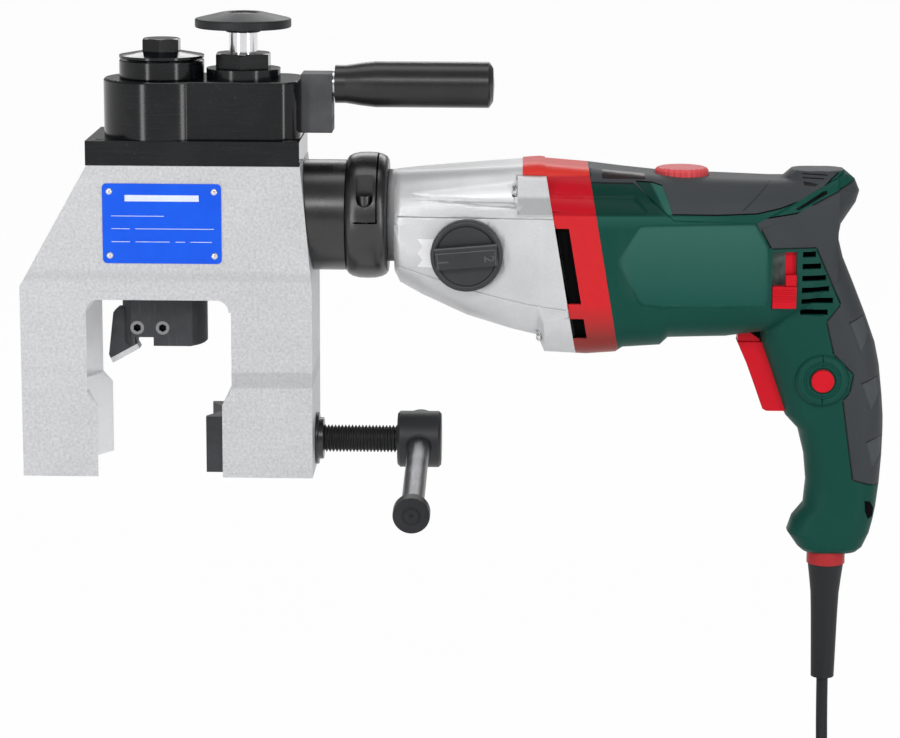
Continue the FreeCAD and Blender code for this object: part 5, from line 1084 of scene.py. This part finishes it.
# Speed dial, direction slider, trigger and lock button
# Red moulded controls of the drill. The slider runs in a dark grey tray, and a black rib behind it
# and behind the side slots, a sheet of painted shade, keeps daylight out of the hollow housing.
dial_x, dial_foot, dial_top, dial_radius = 299.2, 171.2, 178.4, 15.4
dial_lobes = 26
dial = bmesh.new()
dial_rings = []
for radius, high in ((dial_radius - 0.4, dial_foot + 0.1), (dial_radius, dial_foot + 0.6),
                     (dial_radius, dial_top - 1.6), (dial_radius - 1.0, dial_top - 0.5),
                     (dial_radius - 2.2, dial_top - 0.05), (dial_radius - 6.0, dial_top - 0.6)):
    dial_ring = []
    for k in range(dial_lobes * 4):
        angle = 2 * math.pi * k / (dial_lobes * 4)
        dent = 0.7 if k % 4 == 0 and high < dial_top - 0.3 and radius > 14 else 0.0
        reach = radius - dent
        dial_ring.append(dial.verts.new(Vector((dial_x + reach * math.cos(angle), reach * math.sin(angle),
                                                high)) * mm))
    dial_rings.append(dial_ring)
for first, second in zip(dial_rings, dial_rings[1:]):
    for k in range(len(first)):
        dial.faces.new([first[k - 1], first[k], second[k], second[k - 1]])
dial.faces.new(dial_rings[-1])
dial.faces.new(dial_rings[0][::-1])
lathe(dial, [(0, -8.0), (2.9, -8.0), (2.9, 0.5), (0, 0.5)], (dial_x, 0, dial_foot), (0, 0, 1), 24)
dial_red = red_plastic("dial_red", (0.72, 0.085, 0.095))
piece("speed_dial_ribbed", outward(dial), dial_red, "speed_dial", ["speed_dial"])

slider = bmesh.new()
(slider_x0, slider_y0, slider_z0), (slider_x1, slider_y1, slider_z1) = [Vector(c) / mm
                                                                       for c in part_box("direction_slider")]
slab(slider, slider_x0, slider_x1, slider_y0 + 0.8, slider_y1, slider_z0, slider_z0 + 12.6)
slab(slider, 357.8, slider_x1, slider_y0 + 2.0, slider_y1, slider_z0 + 12.7, slider_z1)
chamfered(slider, 0.3 * mm)
for rib in range(3):
    rib_low = slider_z0 + 4.6 + rib * 2.6
    slab(slider, slider_x0 + 0.5, slider_x1 - 0.5, slider_y0 + 0.05, slider_y0 + 1.0, rib_low, rib_low + 0.9)
piece("slider_ribbed", outward(slider), red, "direction_slider", ["direction_slider"])
edged("trigger", 0.3, red, "trigger")
edged("lock_button", 0.2, red, "lock_button", smooth=40)


def prism(work, points, y0, y1):
    """An outline seen along Y as a solid between two depths."""
    ends = [[work.verts.new(Vector((x, y, z)) * mm) for x, z in points] for y in (y0, y1)]
    work.faces.new(ends[0])
    work.faces.new(ends[1][::-1])
    for k in range(len(points)):
        work.faces.new([ends[0][k], ends[0][k - 1], ends[1][k - 1], ends[1][k]])
    return work


# The red web over the trigger, which joins it to the housing
web_points = [(333.0, 77.75), (346.0, 77.75), (346.0, 86.5), (333.6, 84.2)]
web = outward(prism(bmesh.new(), web_points, -5.8, 5.8))
bmesh.ops.bevel(web, geom=web.edges[:], offset=0.2 * mm, segments=2, affect="EDGES", profile=0.5)
piece("trigger_web", web, red)
# Black plates on the web's sides are painted shade in its recess
web_painted_shade = bmesh.new()
for side in (-1, 1):
    prism(web_painted_shade, [(338.6, 83.6), (345.9, 84.6), (345.9, 79.0)], 5.6 * side, 5.88 * side)
piece("trigger_web_recess", outward(web_painted_shade), painted_shade_black)

tray_paint = Paint("tray_grey", (0.2, 0.24, 0.22), 0.5, "black_plastic")
tray_paint.colour((0.015, 0.028, 0.024), (0.085, 0.11, 0.1), tray_paint.noise(110.0, 3.0).above(0.4, 0.75))
tray = bmesh.new()
slab(tray, 349.8, 364.6, -26.9, -25.9, 101.2, 134.4)
slab(tray, 349.8, 350.3, -29.8, -26.4, 101.2, 134.4)
slab(tray, 349.8, 362.0, -29.6, -26.4, 133.9, 134.4)
piece("slider_tray", outward(tray), tray_paint)
strip = bmesh.new()
slab(strip, 357.8, 363.9, -27.1, -26.8, 101.6, 133.8)
slab(strip, 358.0, 358.7, -27.2, -27.0, 101.6, 133.8)
piece("slider_strip", outward(strip), red)
# The black rib is painted shade, standing in for the dark inside of the housing
shade_rib_points = [(348.2, 84.0), (368.0, 96.5), (389.0, 96.5), (389.0, 140.0), (385.0, 166.0), (352.0, 166.0),
              (348.2, 150.0)]
piece("middle_rib", outward(prism(bmesh.new(), shade_rib_points, -1.2, 1.2)), painted_shade_black)


# Inner parts
# Steel gears, shafts and bearings, and the motor, seen only through the slots.
dark_steel = steel_paint("machined_steel", (0.32, 0.33, 0.34), 0.35)
dress(dark_steel, "crown_gear", "pinion_shaft", "quill", "feed_nut", "feed_pinion", "output_shaft",
      "layshaft", "armature", "stator", "carbon_brushes", "quill_guide")
dress(bright, "bearings", "quill_bearings", "knob_spring")
dress(selector_black, "switch_module")


# Cord with its collar and bend relief
# A 6.8 mm rubber lead leaves the grip through a red collar and a black bend relief, hangs down
# and lies below as a tied coil with its plug.
red_collar = red_plastic("red_collar", (0.45, 0.03, 0.035))
dress(red_collar, "relief_collar")
cord_rubber = soft_rubber("cord_rubber", (0.016, 0.017, 0.019))
dress(cord_rubber, "cord_relief")
cord_diameter = 6.8
cord_route = [(388.2, 0.0, -125.1), (388.5, 0.4, -150.0), (388.0, -13.6, -174.5), (388.3, -38.0, -188.8)]
coil_start = (388.0, -64.0, -188.8)
tail_route = [(388.0, -91.0, -210.7), (391.5, -112.0, -206.0), (398.5, -132.0, -200.7),
              (408.5, -150.3, -200.7)]
coil_layers, coil_turns, coil_pitch, coil_rise = 4, 3.75, 7.3, 7.3
coil_outer, coil_climb, coil_points = 53.0, 0.5, 16


def coil_place(turns):
    """The put-away cord after a number of turns: in and out again, layer by layer."""
    layer = min(int(turns / coil_turns), coil_layers - 1)
    within = turns - layer * coil_turns
    radius = coil_outer - coil_pitch * (within if layer % 2 == 0 else coil_turns - within)
    drop = 0.0
    for k in range(1, coil_layers):
        share = max(0.0, min(1.0, (turns - k * coil_turns) / coil_climb + 0.5))
        drop += coil_rise * share * share * (3 - 2 * share)
    radius /= math.cos(math.pi / coil_points)
    angle = -2 * math.pi * turns
    return (coil_start[0] - coil_outer + radius * math.cos(angle), coil_start[1] + radius * math.sin(angle),
            coil_start[2] - drop)


coil_count = int(coil_layers * coil_turns * coil_points)
cord_points = cord_route + [coil_place(k / coil_points) for k in range(coil_count + 1)] + tail_route
cord_data = bpy.data.curves.new("cord_line", "CURVE")
cord_data.dimensions = "3D"
spline = cord_data.splines.new("NURBS")
spline.points.add(len(cord_points) - 1)
for control, place in zip(spline.points, cord_points):
    control.co = (*(Vector(place) * mm), 1)
spline.order_u = 3
spline.use_endpoint_u = True
cord_data.resolution_u = 3
cord_data.bevel_depth = cord_diameter / 2 * mm
cord_data.bevel_resolution = 4
cord_data.use_fill_caps = True
cord_data.materials.append(cord_rubber.material)
cord = placed("mains_lead", cord_data)
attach(cord, "machine")
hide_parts("cord", "cord_coil")
dress(cord_rubber, "plug", "cord_tie")


# Floor, backdrop and lights
# A plain white floor that keeps the shadow, a white surround, and soft boxes in front, to the
# left and right, above and behind.
def box_light(name, place, aim, width, height, power):
    data = bpy.data.lights.new(name, "AREA")
    data.shape = "RECTANGLE"
    data.size, data.size_y, data.energy = width, height, power
    lamp = placed(name, data)
    lamp.location = place
    lamp.rotation_euler = (Vector(aim) - Vector(place)).to_track_quat("-Z", "Y").to_euler()


floor_height = cad_box[0][2]
half_floor = 20.0
floor_corners = [(x * half_floor, y * half_floor, floor_height)
                 for x, y in ((-1, -1), (1, -1), (1, 1), (-1, 1))]
floor_mesh = bpy.data.meshes.new("floor")
floor_mesh.from_pydata(floor_corners, [], [(0, 1, 2, 3)])
placed("floor", floor_mesh)
floor_paint = Paint("floor_white", (0.9, 0.9, 0.9), 0.9)
rays = [floor_paint.node("ShaderNodeLightPath", {}, {}, "Is " + kind + " Ray")
        for kind in ("Camera", "Glossy", "Transmission")]
glow = floor_paint.node("ShaderNodeEmission", {}, {"Color": (1, 1, 1), "Strength": 1.0})
shown = sum(rays).above(0.0, 1.0) * 0.97
plain = Sum(floor_paint, floor_paint.shader.outputs[0])
mixed = floor_paint.node("ShaderNodeMixShader", {}, {0: shown, 1: plain, 2: glow})
floor_paint.join(mixed, floor_paint.tree.nodes["Material Output"].inputs[0])
floor_mesh.materials.append(floor_paint.material)

world = bpy.data.worlds.new("surround")
bpy.context.scene.world = world
world.use_nodes = True
sky = world.node_tree
background = sky.nodes["Background"]
light_level, camera_level = 0.27, 1.0
ray = sky.nodes.new("ShaderNodeLightPath")
level = sky.nodes.new("ShaderNodeMapRange")
level.inputs["To Min"].default_value = light_level
level.inputs["To Max"].default_value = camera_level
sky.links.new(ray.outputs["Is Camera Ray"], level.inputs["Value"])
sky.links.new(level.outputs[0], background.inputs["Strength"])
background.inputs["Color"].default_value = (1, 1, 1, 1)

box_light("key_box", (0.1, -1.9, 1.3), (0.15, 0, 0.14), 1.5, 0.34, 13)
box_light("left_box", (-0.8, -1.25, 0.45), (0.05, 0, 0.12), 0.2, 1.3, 7)
box_light("right_box", (1.2, -1.15, 0.45), (0.2, 0, 0.12), 0.2, 1.3, 7)
box_light("top_box", (0.2, 0.15, 1.9), (0.2, 0, 0.1), 1.5, 0.8, 8)
box_light("rear_box", (0.3, 2.0, 1.1), (0.2, 0, 0.1), 1.6, 0.7, 10)
